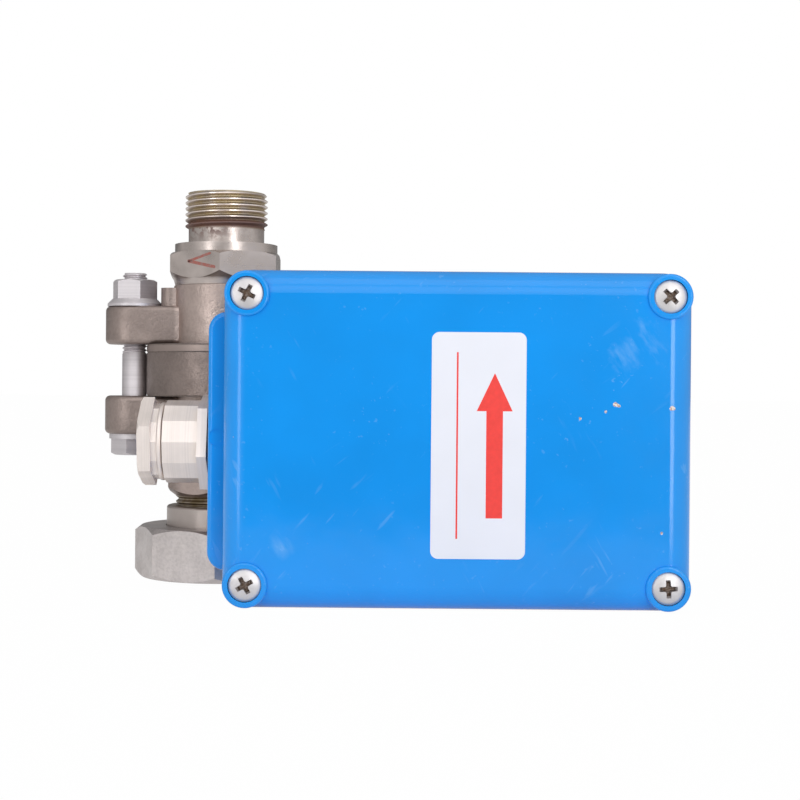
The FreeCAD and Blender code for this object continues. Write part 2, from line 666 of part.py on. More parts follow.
def make_metering_body():
    body = new_body("metering_body", at=("0", "0", "meter_foot"))
    middle = "meter_length / 2"
    turned(body, [("bore_radius", "0"), ("meter_radius", "0"), ("meter_radius", "meter_length"),
                  ("bore_radius", "meter_length")])
    arm = new_sketch(body)
    rectangle(arm, "bore_radius + wall", "arm_reach - pad_thickness", "-arm_width / 2", "arm_width / 2")
    pad(body, arm, "meter_length")
    flange = new_sketch(body, "YZ", "arm_reach - pad_thickness")
    rectangle(flange, "-arm_width / 2", "arm_width / 2", f"{middle} - pad_height / 2",
              f"{middle} + pad_height / 2")
    pad(body, flange, "pad_thickness")
    dress(body, "Fillet", "ear_round", lambda edge: edge.Curve.TypeId == "Part::GeomLine" and
          edge.BoundBox.XLength > MOSTLY * edge.Length and
          abs(edge.CenterOfMass.x - number("arm_reach - pad_thickness / 2")) < CLOSE)
    drill(body, [("bolt_offset", "0")], "tie_radius + tie_hole_gap", "meter_length", "meter_length")
    port = f"{middle} - port_drop"
    drill(body, [("port_offset", port)], "port_radius", "arm_reach", "arm_reach", plane="YZ")
    drill(body, [("-port_offset", port)], "port_radius", "arm_reach", "arm_reach - tap_reach", plane="YZ")
    drill(body, [("tap_reach", "-port_offset")], "port_radius", "meter_length", f"{middle} + port_drop")
    drill(body, pad_screw_spots(middle), "pad_screw_radius + hole_gap", "arm_reach", "pad_thickness", "YZ")


def pad_screw_spots(middle):
    return [(f"{side} * pad_screw_across / 2", f"{middle} + {rise} * pad_screw_up / 2")
            for side in (-1, 1) for rise in (-1, 1)]


def make_gaskets():
    """Three flat gaskets: under the metering body, over it, and over the orifice plate."""
    body = new_body("line_gaskets")
    for foot in ("lower_top", "meter_top", "plate_top"):
        ring = new_sketch(body, "XY", foot)
        circle(ring, "gasket_radius")
        circle(ring, "bore_radius")
        pad(body, ring, "gasket_thickness")
    drill(body, [("tap_reach", "-port_offset")], "port_radius", "meter_top", "plate_top", upward=True)


def make_orifice_plate():
    body = new_body("orifice_plate", at=("0", "0", "plate_foot"))
    edge = "plate_thickness / 2"
    turned(body, [("orifice_radius", "0"), ("meter_radius", "0"), ("meter_radius", "plate_thickness"),
                  ("orifice_radius + orifice_flare", "plate_thickness"), ("orifice_radius", edge)])
    drill(body, [("tap_reach", "-port_offset")], "port_radius", "plate_thickness", "plate_thickness")


def make_upper_cap():
    body = new_body("upper_cap", at=("0", "0", "upper_foot"))
    discs(body, [("0", "0")], "neck_radius", "0", "upper_cap_length")
    add_ears(body, "0", "ear_thickness")
    dress(body, "Fillet", "neck_round", round_edge("neck_radius", "upper_cap_length"))
    drill(body, [("0", "0")], "shank_radius + thread_gap", "upper_cap_length", "shank_length")
    drill(body, [("0", "0")], "bore_radius", "upper_cap_length", "upper_cap_length")
    drill(body, TIE_SPOTS, "tie_radius + tie_hole_gap", "upper_cap_length", "upper_cap_length")
    slot = new_sketch(body)
    rectangle(slot, "bore_radius / 2", "tap_reach + port_radius", "-port_offset - port_radius",
              "-port_offset + port_radius")
    cut(body, slot, "port_radius", upward=True)


def make_upper_nipple():
    body = new_body("upper_nipple", at=("0", "0", "upper_top"))
    hex_top = "hex_taper + hex_height"
    face_top = f"{hex_top} + washer_face_height"
    thread_foot = f"{face_top} + neck_length"
    end = f"{thread_foot} + pipe_thread_length"
    turned(body, [("bore_radius", "-shank_length"), ("shank_radius", "-shank_length"), ("shank_radius", "0"),
                  ("hex_foot_radius", "0"), ("hex_flats / 2", "hex_taper"), ("hex_flats / 2", hex_top),
                  ("washer_face_radius", hex_top), ("washer_face_radius", face_top),
                  ("undercut_radius", face_top), ("undercut_radius", thread_foot),
                  ("pipe_thread_radius", thread_foot), ("pipe_thread_radius", f"{end} - pipe_chamfer"),
                  ("pipe_thread_radius - pipe_chamfer", end), ("bore_radius", end)])
    pad(body, polygon(new_sketch(body, "XY", "hex_taper"), 6, "hex_flats"), "hex_height")
    chamfer_corners(body, 6, "hex_flats", "nut_chamfer", hex_top, -1)
    outside = "hex_flats / 2 / cos(30deg) + free_gap"
    turned_cut(body, [("hex_flats / 2", "hex_taper"), (outside, "hex_taper"),
                      (outside, "hex_taper + hex_fall")])
    drill(body, [("0", "0")], "bore_radius", hex_top, "hex_height")


def make_tie_bolts():
    head_foot = "lower_ear - tie_washer - tie_head"
    body = new_body("tie_bolts")
    hexagons(body, TIE_SPOTS, "tie_flats", head_foot, "tie_head", "tie_head_turn")
    discs(body, TIE_SPOTS, "tie_radius", "lower_ear - tie_washer",
          "upper_ear + tie_nut_height + tie_end - lower_ear + tie_washer")
    dress(body, "Chamfer", "tie_chamfer", flat_at("upper_ear + tie_nut_height + tie_end"))
    washers = new_body("tie_washers")
    discs(washers, TIE_SPOTS, "tie_washer_radius", "lower_ear - tie_washer", "tie_washer")
    drill(washers, TIE_SPOTS, "tie_radius + tie_hole_gap", "lower_ear", "tie_washer")
    nuts = new_body("tie_nuts")
    discs(nuts, TIE_SPOTS, "tie_flange_radius", "upper_ear", "tie_nut_flange")
    flange_top = "upper_ear + tie_nut_flange"
    dress(nuts, "Chamfer", "tie_flange_cone", round_edge("tie_flange_radius", flange_top))
    hexagons(nuts, TIE_SPOTS, "tie_flats", "upper_ear", "tie_nut_height", "tie_nut_turn")
    drill(nuts, TIE_SPOTS, "tie_radius + thread_gap", "upper_ear + tie_nut_height", "tie_nut_height")


# Box

def cavity_outline(sketch):
    """The open middle of the box, stepped in at the corners round the screw posts."""
    left, right = "box_centre - (cavity_across)", "box_centre + (cavity_across)"
    low, high = "box_mid - (cavity_up)", "box_mid + (cavity_up)"
    left_in, right_in = f"{left} + post", f"{right} - post"
    low_in, high_in = f"{low} + post", f"{high} - post"
    return loop(sketch, [(left_in, low), (right_in, low), (right_in, low_in), (right, low_in),
                         (right, high_in), (right_in, high_in), (right_in, high), (left_in, high),
                         (left_in, high_in), (left, high_in), (left, low_in), (left_in, low_in)])


def box_outline(sketch, inset):
    return rectangle(sketch, f"box_left + {inset}", f"box_left + box_width - {inset}",
                     f"box_mid - box_height / 2 + {inset}", f"box_mid + box_height / 2 - {inset}")


def make_enclosure_base():
    body = new_body("enclosure_base", TO_FRONT)
    pad(body, box_outline(new_sketch(body, "XY", "back_stand"), "base_inset"), "base_depth")
    dress(body, "Fillet", "corner_round", upright)
    dress(body, "Fillet", "ear_round", flat_at("back_stand"))
    ledge = new_sketch(body, "XY", "back_stand")
    rectangle(ledge, "-(gland_wall)", "box_left + base_inset + wall", "ledge_level - ledge_height / 2",
              "ledge_level + ledge_height / 2")
    pad(body, ledge, "base_depth")
    dress(body, "Fillet", "ledge_round", lambda edge: upright(edge) and
          abs(edge.CenterOfMass.x + number("gland_wall")) < CLOSE)
    front, left = flat_at("rim"), number("box_left + base_inset")
    dress(body, "Fillet", "ledge_edge", lambda edge: front(edge) and edge.CenterOfMass.x < left - CLOSE)
    boss = new_sketch(body, "YZ", "-(gland_wall)")
    circle(boss, "gland_wall_radius", "gland_level", "gland_depth")
    pad(body, boss, "gland_boss")
    chamber_spot = [("chamber_offset", "box_mid")]
    discs(body, chamber_spot, "ring_radius", "ring_back", "ring_depth")
    cut(body, cavity_outline(new_sketch(body, "XY", "rim")), "base_depth - floor_thickness")
    discs(body, frame_foot_spots(), "stud_radius", "box_floor", "stud_height")
    discs(body, earth_spot(), "earth_boss_radius", "box_floor", "earth_boss")
    drill(body, chamber_spot, "chamber_radius", "ring_back", "front_chamber", upward=True)
    drill(body, chamber_spot, "bush_radius + thread_gap", "box_floor", "box_floor - chamber_roof")
    drill(body, BOX_SCREWS, "screw_radius + thread_gap", "rim", "screw_bite + floor_thickness")
    bolts = [(f"chamber_offset + {x}", f"box_mid + {y}") for x, y in clamp_spots()]
    drill(body, bolts, "clamp_radius + thread_gap", "ring_back", "clamp_bite + clamp_radius", upward=True)
    drill(body, frame_foot_spots(), "foot_screw_radius + thread_gap", "stud_top", "foot_bite")
    drill(body, earth_spot(), "earth_radius + thread_gap", "box_floor + earth_boss", "earth_bite")
    channel = new_sketch(body, "XY", "ring_back")
    rectangle(channel, "link_reach - port_radius", "chamber_offset - chamber_radius / 2",
              "port_level - port_radius", "port_level + port_radius")
    cut(body, channel, "port_radius", upward=True)
    entry = [("gland_level", "gland_depth")]
    wall_face = "-(gland_wall)"
    drill(body, entry, "gland_thread_radius", wall_face, "gland_thread + free_gap", "YZ", upward=True)
    drill(body, entry, "entry_radius", wall_face, "gland_boss - entry_wall", "YZ", upward=True)
    mark = [("box_left - ledge_mark", "box_mid")]
    drill(body, mark, "ledge_mark", "rim", "mark_depth")


def foot_screw_spots():
    """The four screws of the lever frame, about the chamber axis."""
    return [(f"{side} * (frame_half - foot_length / 2)", f"{rise} * foot_screw_span / 2")
            for side in (-1, 1) for rise in (-1, 1)]


def frame_foot_spots():
    return [(f"chamber_offset + {x}", f"box_mid + {y}") for x, y in foot_screw_spots()]


def earth_spot():
    return [("box_left + earth_left", "box_mid - earth_drop")]


def make_cover_gasket():
    body = new_body("cover_gasket", TO_FRONT)
    ring = cavity_outline(new_sketch(body, "XY", "rim"))
    box_outline(ring, "2 * base_inset")
    pad(body, ring, "lid_gasket")
    outer = number("box_width / 2 - 2 * base_inset - wall / 2")
    dress(body, "Fillet", "corner_round", lambda edge: upright(edge) and
          abs(edge.CenterOfMass.x - number("box_centre")) > outer)
    drill(body, BOX_SCREWS, "screw_radius + hole_gap", "lid_foot", "lid_gasket")


def make_cover():
    body = new_body("cover", TO_FRONT)
    pad(body, box_outline(new_sketch(body, "XY", "lid_foot"), "0"), "lid_depth", draft="-lid_draft")
    dress(body, "Fillet", "corner_round", upright)
    dress(body, "Fillet", "lid_round", flat_at("face"))
    discs(body, BOX_SCREWS, "boss_radius", "lid_foot", "lid_depth + boss_rise")
    dress(body, "Fillet", "0.7 * boss_rise", round_edge("boss_radius", "face + boss_rise"))
    cut(body, cavity_outline(new_sketch(body, "XY", "lid_foot")), "lid_depth - floor_thickness", upward=True)
    drill(body, BOX_SCREWS, "screw_head_radius + boss_mouth", "face + boss_rise", "boss_sink")
    drill(body, BOX_SCREWS, "screw_radius + hole_gap", "face + boss_rise", "lid_depth + boss_rise")


def make_cover_screws():
    body = new_body("cover_screws", TO_FRONT)
    discs(body, BOX_SCREWS, "screw_head_radius", "head_seat", "screw_head")
    dress(body, "Fillet", "screw_head_round", round_edge("screw_head_radius", "head_seat + screw_head"))
    discs(body, BOX_SCREWS, "screw_radius", "rim - screw_bite", "head_seat - rim + screw_bite")


# Diaphragm chamber

def make_rear_housing():
    body = new_body("rear_housing", TO_FRONT, AT_CHAMBER)
    dish_radius = "chamber_radius + rear_wall"
    turned(body, [("0", "chamber_end - rear_wall"), (dish_radius, "chamber_end - rear_wall"),
                  (dish_radius, "flange_back"), ("ring_radius", "flange_back"),
                  ("ring_radius", "diaphragm_back"), ("0", "diaphragm_back")])
    dress(body, "Fillet", "rear_round", round_edge(dish_radius, "chamber_end - rear_wall"))
    block = new_sketch(body, "XY", "-arm_width / 2")
    rectangle(block, "arm_reach - chamber_offset", "-chamber_radius / 2", "box_drop - pad_height / 2",
              "box_drop + pad_height / 2")
    pad(body, block, "arm_width")
    drill(body, [("0", "0")], "chamber_radius", "diaphragm_back", "rear_chamber")
    drill(body, clamp_spots(), "clamp_radius + hole_gap", "diaphragm_back", "rear_flange")
    seats = new_sketch(body, "XY", "flange_back")
    for x, y in clamp_spots():
        circle(seats, "clamp_flats / 2 / cos(30deg) + free_gap", x, y)
    cut(body, seats, "arm_width")
    # The high pressure drilling opens into the chamber, the low pressure one turns forward to the ring
    port = "box_drop - port_drop"
    drill(body, [(port, "-port_offset")], "port_radius", "arm_reach - chamber_offset",
          "chamber_offset - arm_reach - chamber_radius / 2", plane="YZ", upward=True)
    drill(body, [(port, "port_offset")], "port_radius", "arm_reach - chamber_offset",
          "link_reach - arm_reach + port_radius / 2", plane="YZ", upward=True)
    drill(body, [("link_reach - chamber_offset", port)], "port_radius", "diaphragm_back",
          "diaphragm_back - port_offset + port_radius / 3")
    screws = [(f"box_drop + {up} * pad_screw_up / 2", f"{side} * pad_screw_across / 2")
              for side in (-1, 1) for up in (-1, 1)]
    drill(body, screws, "pad_screw_radius + thread_gap", "arm_reach - chamber_offset", "pad_bite + free_gap",
          plane="YZ", upward=True)


def make_pad_screws():
    """Four socket screws that hold the chamber to the arm of the metering body."""
    body = new_body("pad_screws")
    spots = pad_screw_spots("meter_mid")
    seat = "arm_reach - pad_thickness"
    discs(body, spots, "pad_head_radius", f"{seat} - pad_head", "pad_head", "YZ")
    discs(body, spots, "pad_screw_radius", seat, "pad_thickness + pad_bite", "YZ")


def make_diaphragm():
    body = new_body("diaphragm", TO_FRONT, AT_CHAMBER)
    flat = "disc_radius + free_gap"
    rise = "(chamber_radius - disc_radius) / 3"
    turned(body, [("stem_radius + thread_gap", "diaphragm_back"), (flat, "diaphragm_back"),
                  (f"{flat} + {rise} / 2", "diaphragm_back - roll_depth"),
                  (f"chamber_radius - {rise} / 2", "diaphragm_back - roll_depth"),
                  ("chamber_radius", "diaphragm_back"), ("ring_radius", "diaphragm_back"),
                  ("ring_radius", "ring_back"), (f"chamber_radius - {rise} / 3", "ring_back"),
                  (f"chamber_radius - {rise}", "ring_back - roll_depth"),
                  (f"{flat} + {rise}", "ring_back - roll_depth"), (f"{flat} + {rise} / 3", "ring_back"),
                  ("stem_radius + thread_gap", "ring_back")])
    drill(body, clamp_spots(), "clamp_radius + hole_gap", "ring_back", "diaphragm_thickness")
    drill(body, [("link_reach - chamber_offset", "box_drop - port_drop")], "port_radius", "ring_back",
          "diaphragm_thickness")


def make_clamp_bolts():
    body = new_body("clamp_bolts", TO_FRONT, AT_CHAMBER)
    hexagons(body, clamp_spots(), "clamp_flats", "flange_back - clamp_head", "clamp_head")
    discs(body, clamp_spots(), "clamp_radius", "flange_back", "ring_back - flange_back + clamp_bite")


def make_stem():
    hole = "stem_radius + thread_gap"
    tube("front_disc", TO_FRONT, AT_CHAMBER, hole, "disc_radius", "ring_back", "ring_back + disc_thickness")
    tube("rear_disc", TO_FRONT, AT_CHAMBER, hole, "disc_radius", "diaphragm_back - disc_thickness",
         "diaphragm_back")
    nut = new_body("stem_nut", TO_FRONT, AT_CHAMBER)
    nut_top = "diaphragm_back - disc_thickness"
    hexagons(nut, [("0", "0")], "stem_nut_flats", f"{nut_top} - stem_nut", "stem_nut")
    drill(nut, [("0", "0")], hole, nut_top, "stem_nut")
    stem = new_body("stem", TO_FRONT, AT_CHAMBER)
    tail = f"{nut_top} - stem_nut - stem_tail"
    collar = "ring_back + disc_thickness"
    collar_top = f"{collar} + stem_collar"
    turned(stem, [("0", tail), ("stem_radius", tail), ("stem_radius", collar),
                  ("stem_collar_radius", collar), ("stem_collar_radius", collar_top),
                  ("stem_radius", collar_top), ("stem_radius", "stem_end - nose_length"),
                  ("stem_nose", "stem_end"), ("0", "stem_end")])
    bush = new_body("stem_bush", TO_FRONT, AT_CHAMBER)
    inner = "stem_radius + run_gap"
    groove = "chamber_roof + bush_flange"
    groove_end = f"{groove} + ring_seal + 2 * thread_gap"
    groove_wall = f"{inner} + ring_seal"
    bush_foot, bush_top = "chamber_roof - bush_flange", "box_floor + bush_stand"
    turned(bush, [(inner, bush_foot), ("bush_flange_radius", bush_foot),
                  ("bush_flange_radius", "chamber_roof"), ("bush_radius", "chamber_roof"),
                  ("bush_radius", bush_top), (inner, bush_top),
                  (inner, groove_end), (groove_wall, groove_end), (groove_wall, groove), (inner, groove)])
    tube("stem_seal", TO_FRONT, AT_CHAMBER, inner, f"{groove_wall} - thread_gap", f"{groove} + thread_gap",
         f"{groove} + thread_gap + ring_seal")


# Lever works

def make_lever_frame():
    body = new_body("lever_frame", TO_FRONT, AT_CHAMBER)
    half, foot, side = "frame_half", "frame_half - foot_length", "frame_width / 2"
    wide = "foot_span / 2"
    plate = new_sketch(body, "XY", "stud_top")
    loop(plate, [(f"-{half}", f"-{wide}"), (f"-({foot})", f"-{wide}"), (f"-({foot})", f"-{side}"),
                 (foot, f"-{side}"), (foot, f"-{wide}"), (half, f"-{wide}"), (half, wide), (foot, wide),
                 (foot, side), (f"-({foot})", side), (f"-({foot})", wide), (f"-{half}", wide)])
    pad(body, plate, "sheet")
    tall, short = "stud_top + switch_wall", "stud_top + pivot_wall"
    bridge_end, step = "bridge_width / 2", "bridge_width / 2 + sheet"
    tail = f"-({foot}) - hub_radius"
    for level in (f"{side} - sheet", f"-{side}"):
        wall = new_sketch(body, "XZ", level)
        loop(wall, [(f"-({foot})", "stud_top"), (foot, "stud_top"), (foot, tall), (step, tall),
                    (step, "bridge_under"), (f"-{bridge_end}", "bridge_under"), (f"-{bridge_end}", short),
                    (tail, short), (tail, "frame_top")])
        pad(body, wall, "sheet")
    bridge = new_sketch(body, "XY", "bridge_under")
    rectangle(bridge, f"-{bridge_end}", bridge_end, f"-{side}", side)
    pad(body, bridge, "sheet")
    drill(body, [("0", "0")], "bush_radius + free_gap", "frame_top", "sheet")
    drill(body, [("0", "0")], "setting_radius + run_gap", "bridge_over", "sheet")
    feet = foot_screw_spots()
    drill(body, feet, "foot_screw_radius + hole_gap", "frame_top", "sheet")
    drill(body, [("-pivot_arm", "pivot_depth")], "pin_radius + thread_gap", side, "frame_width", "XZ")
    drill(body, switch_screw_spots(), "switch_screw_radius + hole_gap", f"-{side} + sheet", "sheet", "XZ")
    screws = new_body("frame_screws", TO_FRONT, AT_CHAMBER)
    discs(screws, feet, "foot_head_radius", "frame_top", "foot_head")
    discs(screws, feet, "foot_screw_radius", "stud_top - foot_bite", "frame_top - stud_top + foot_bite")


def switch_screw_spots():
    start = "plunger_arm - plunger_inset + switch_screw_inset"
    return [(start, "switch_under + switch_screw_rise"),
            (f"{start} + switch_screw_span", "switch_under + switch_screw_rise")]


def make_lever():
    body = new_body("lever", TO_FRONT, AT_CHAMBER)
    plate = new_sketch(body, "XY", "lever_under")
    rectangle(plate, "-pivot_arm", "plunger_arm + lever_tail", "-lever_width / 2", "lever_width / 2")
    pad(body, plate, "lever_thickness")
    dress(body, "Fillet", "lever_round", lambda edge: upright(edge) and edge.CenterOfMass.x > 0)
    hub = new_sketch(body, "XZ", "-lever_width / 2")
    circle(hub, "hub_radius", "-pivot_arm", "pivot_depth")
    pad(body, hub, "lever_width")
    drill(body, [("-pivot_arm", "pivot_depth")], "pin_radius + run_gap", "lever_width / 2", "lever_width",
          "XZ")
    pin = new_body("pivot_pin", at=("chamber_offset - pivot_arm", "-(pivot_depth)", "box_mid"))
    side = "frame_width / 2"
    discs(pin, [("0", "0")], "pin_radius", f"-{side} - pin_head", "frame_width + pin_head")
    discs(pin, [("0", "0")], "pin_head_radius", side, "pin_head")


def make_range_spring():
    body = new_body("range_spring", TO_FRONT, AT_CHAMBER)
    half = "spring_wire / 2"
    foot = f"spring_foot + {half}"
    wire = new_sketch(body, "XZ")
    circle(wire, half, "spring_radius", foot)
    coil = body.newObject("PartDesign::AdditiveHelix", "range_spring_coil")
    coil.Profile = wire
    coil.ReferenceAxis = (wire, ["V_Axis"])
    coil.Mode = "height-turns-growth"
    coil.setExpression("Height", cells(f"seat_under - ({foot}) - {half} - thread_gap"))
    coil.setExpression("Turns", cells("spring_turns"))
    doc.recompute()


def make_setting():
    screw = new_body("setting_screw", TO_FRONT, AT_CHAMBER)
    seat_top, screw_end = "seat_under + seat_thickness", "knob_under + knob_height / 2"
    turned(screw, [("0", "seat_under"), ("seat_radius", "seat_under"), ("seat_radius", seat_top),
                   ("setting_radius", seat_top), ("setting_radius", screw_end), ("0", screw_end)])
    tube("setting_dial", TO_FRONT, AT_CHAMBER, "setting_radius + free_gap", "dial_radius", "bridge_over",
         "bridge_over + dial_thickness")
    knob = new_body("setting_knob", TO_FRONT, AT_CHAMBER)
    discs(knob, [("0", "0")], "knob_radius", "knob_under", "knob_height")
    drill(knob, [("0", "0")], "setting_radius", "knob_under", "knob_height / 2", upward=True)
    count = int(VALUES["knob_grips"])
    flutes = [(f"knob_radius * cos({360 * (index + 0.5)} / knob_grips * 1deg)",
               f"knob_radius * sin({360 * (index + 0.5)} / knob_grips * 1deg)") for index in range(count)]
    drill(knob, flutes, "flute_radius", "knob_under + knob_height", "knob_height")
    groove = new_sketch(knob, "XY", "knob_under + knob_height")
    rectangle(groove, "-pointer_width / 2", "pointer_width / 2", "0", "knob_radius - flute_radius")
    cut(knob, groove, "pointer_depth")


def make_switch():
    body = new_body("switch_body", TO_FRONT, ("chamber_offset + plunger_arm", "0", "box_mid"))
    left, right = "-plunger_inset", "switch_length - plunger_inset"
    low, high = "switch_side - switch_thickness", "switch_side"
    middle = "switch_side - switch_thickness / 2"
    block = new_sketch(body, "XY", "switch_under")
    rectangle(block, left, right, low, high)
    pad(body, block, "switch_depth")
    dress(body, "Fillet", "switch_round", upright)
    top = "switch_under + switch_depth"
    shelf = new_sketch(body, "XY", top)
    rectangle(shelf, f"{right} - shelf_length", f"{right} + free_gap", f"{low} - free_gap",
              f"{high} + free_gap")
    cut(body, shelf, "shelf_drop")
    drill(body, [("0", middle)], "plunger_radius + run_gap", "switch_under", "plunger_sunk + plunger_room",
          upward=True)
    screws = [(f"{x} - plunger_arm", depth) for x, depth in switch_screw_spots()]
    drill(body, screws, "switch_screw_radius + hole_gap", f"-({high})", "switch_thickness", "XZ",
          upward=True)
    heads = new_body("switch_screws", TO_FRONT, ("chamber_offset + plunger_arm", "0", "box_mid"))
    wall = "frame_width / 2"
    discs(heads, screws, "switch_head_radius", f"-({wall}) - switch_head", "switch_head", plane="XZ")
    discs(heads, screws, "switch_screw_radius", f"-({wall})", "sheet + switch_thickness", plane="XZ")
    spots = [(f"{right} - shelf_length / 2", f"{middle} + {step} * terminal_pitch") for step in (-1, 0, 1)]
    terminals = new_body("switch_terminals", TO_FRONT, ("chamber_offset + plunger_arm", "0", "box_mid"))
    discs(terminals, spots, "terminal_radius", f"{top} - shelf_drop", "terminal_height")
    plunger = new_body("switch_plunger", TO_FRONT, ("chamber_offset + plunger_arm", "0", "box_mid"))
    tip = "switch_under - plunger_show"
    discs(plunger, [("0", middle)], "plunger_radius", tip, "plunger_show + plunger_sunk")
    dress(plunger, "Fillet", "plunger_radius / 2", flat_at(tip))


def make_earth():
    top = "box_floor + earth_boss"
    washer = new_body("earth_washer", TO_FRONT)
    discs(washer, earth_spot(), "earth_washer_radius", top, "earth_washer")
    drill(washer, earth_spot(), "earth_radius + hole_gap", f"{top} + earth_washer", "earth_washer")
    screw = new_body("earth_screw", TO_FRONT)
    discs(screw, earth_spot(), "earth_head_radius", f"{top} + earth_washer", "earth_head")
    head_top = f"{top} + earth_washer + earth_head"
    dress(screw, "Fillet", "earth_head / 2", round_edge("earth_head_radius", head_top))
    discs(screw, earth_spot(), "earth_radius", f"{top} - earth_bite", "earth_bite + earth_washer")


# Cable gland, along -X from the gland wall

def make_gland():
    at = ("-(gland_wall)", "-gland_depth", "gland_level")
    tube("gland_washer", TO_LEFT, at, "gland_thread_radius + thread_gap", "gland_washer_radius", "0",
         "gland_washer")
    body = new_body("gland_body", TO_LEFT, at)
    hex_top = "gland_washer + gland_hex"
    barrel_top = f"{hex_top} + gland_barrel_length"
    nose_top = f"{barrel_top} + gland_nose"
    tail = "gland_thread_radius - thread_gap"
    turned(body, [("0", "-gland_thread"), (tail, "-gland_thread"), (tail, "gland_washer"),
                  ("gland_nose_radius", "gland_washer"), ("gland_nose_radius", nose_top), ("0", nose_top)])
    pad(body, polygon(new_sketch(body, "XY", "gland_washer"), 6, "gland_hex_flats", turn="gland_hex_turn"),
        "gland_hex")
    pad(body, polygon(new_sketch(body, "XY", hex_top), 12, "gland_barrel", turn="gland_barrel_turn"),
        "gland_barrel_length")
    drill(body, [("0", "0")], "gland_bore", nose_top, f"{nose_top} + gland_thread")
    drill(body, [("0", "0")], "cone_radius", nose_top, "cone_depth")
    seal_foot = f"{nose_top} - cone_depth"
    tube("gland_rubber", TO_LEFT, at, "rubber_bore", "cone_radius - thread_gap", seal_foot,
         f"{seal_foot} + rubber_length")
    cap = new_body("gland_cap", TO_LEFT, at)
    lip_foot = f"{barrel_top} + free_gap"
    lip_top = f"{lip_foot} + cap_lip"
    ring_top = f"{lip_top} + cap_ring"
    cap_top = f"{ring_top} + cap_hex"
    discs(cap, [("0", "0")], "cap_lip_radius", lip_foot, "cap_lip")
    dress(cap, "Fillet", "cap_lip / 3", lambda edge: True)
    pad(cap, polygon(new_sketch(cap, "XY", lip_top), 12, "cap_ring_flats", turn="gland_barrel_turn"),
        "cap_ring")
    pad(cap, polygon(new_sketch(cap, "XY", ring_top), 6, "cap_flats", turn="cap_turn"), "cap_hex")
    chamfer_corners(cap, 6, "cap_flats", "cap_chamfer", cap_top, -1)
    drill(cap, [("0", "0")], "gland_nose_radius + thread_gap", lip_foot,
          f"{seal_foot} + rubber_length - ({lip_foot}) + thread_gap", upward=True)
    drill(cap, [("0", "0")], "gland_bore", cap_top, f"{cap_top} - ({lip_foot})")


def check_document():
    """Stop if any object failed to build or any node is not a valid solid."""
    for item in doc.Objects:
        if {"Invalid", "Error"} & set(item.State):
            raise RuntimeError(f"{item.Label} failed to build: {item.State}")
    for body in nodes:
        if body.Shape.isNull() or not body.Shape.isValid() or not body.Shape.Solids:
            raise RuntimeError(f"{body.Label} is not a valid solid")


make_union_nut()
make_lower_nipple()
make_lower_cap()
make_metering_body()
make_gaskets()
make_orifice_plate()
make_upper_cap()
make_upper_nipple()
make_tie_bolts()
make_enclosure_base()
make_cover_gasket()
make_cover()
make_cover_screws()
make_rear_housing()
make_pad_screws()
make_diaphragm()
make_clamp_bolts()
make_stem()
make_lever_frame()
make_lever()
make_range_spring()
make_setting()
make_switch()
make_earth()
make_gland()
doc.recompute()
check_document()
os.makedirs("parts", exist_ok=True)
for body in nodes:
    body.Shape.exportStep(f"parts/{body.Label}.step")
    print(body.Label, len(body.Shape.Solids), round(body.Shape.Volume))
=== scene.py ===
"""Studio picture of an in-line flow monitor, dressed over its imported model."""
import bmesh
import bpy
import math
from bpy.props import FloatProperty, FloatVectorProperty, IntProperty, PointerProperty
from mathutils import Matrix, Vector


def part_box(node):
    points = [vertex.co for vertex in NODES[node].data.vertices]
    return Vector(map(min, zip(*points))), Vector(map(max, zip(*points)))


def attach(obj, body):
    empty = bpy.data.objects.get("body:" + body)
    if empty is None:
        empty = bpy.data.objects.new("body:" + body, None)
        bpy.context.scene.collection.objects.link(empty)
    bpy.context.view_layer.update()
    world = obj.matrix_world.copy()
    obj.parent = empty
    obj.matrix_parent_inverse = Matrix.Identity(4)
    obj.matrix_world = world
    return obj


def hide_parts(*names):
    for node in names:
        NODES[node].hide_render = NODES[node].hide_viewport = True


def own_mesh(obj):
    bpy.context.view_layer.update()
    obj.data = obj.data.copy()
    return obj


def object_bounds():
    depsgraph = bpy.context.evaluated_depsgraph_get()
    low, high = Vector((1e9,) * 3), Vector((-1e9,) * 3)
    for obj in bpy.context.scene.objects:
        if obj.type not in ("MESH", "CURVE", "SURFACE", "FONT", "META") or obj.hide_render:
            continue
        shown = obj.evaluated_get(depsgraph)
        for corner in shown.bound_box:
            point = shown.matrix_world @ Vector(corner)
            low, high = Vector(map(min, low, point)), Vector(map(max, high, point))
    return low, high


bl_info = {
    "name": "Flow monitor",
    "version": (1, 0, 0),
    "blender": (4, 5, 0),
    "location": "View3D > Sidebar > Flow monitor",
    "description": "Finishes, threads, screw recesses, label and stage of an in-line flow monitor",
    "category": "Object",
}

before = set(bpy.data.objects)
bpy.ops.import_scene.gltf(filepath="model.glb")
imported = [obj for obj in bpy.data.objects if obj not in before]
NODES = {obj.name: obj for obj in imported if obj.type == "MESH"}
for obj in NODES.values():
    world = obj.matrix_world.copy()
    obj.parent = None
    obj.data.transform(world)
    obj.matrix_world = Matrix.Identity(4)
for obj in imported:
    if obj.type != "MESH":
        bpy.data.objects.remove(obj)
CAD_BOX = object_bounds()
MM = 0.001
# An allowance too small to see
HAIR = 0.05 * MM
TO_FRONT = Matrix.Rotation(math.radians(90), 4, "X")

# Chips of the enamel, and its pale patches, which are partly smears and partly painted highlights of lamps in
# dents: X, Z and size in millimetres
CHIPS = ((120.4, 57.6, 0.75), (136.4, 56.9, 0.7), (109.8, 53.6, 0.35), (117.2, 55.6, 0.3), (133.8, 20.5, 0.3))
SMEARS_AND_HIGHLIGHTS = ((127.8, 77.5, 1.8), (122.4, 71.5, 1.5), (131.0, 73.0, 1.1), (24.0, 16.5, 0.9))
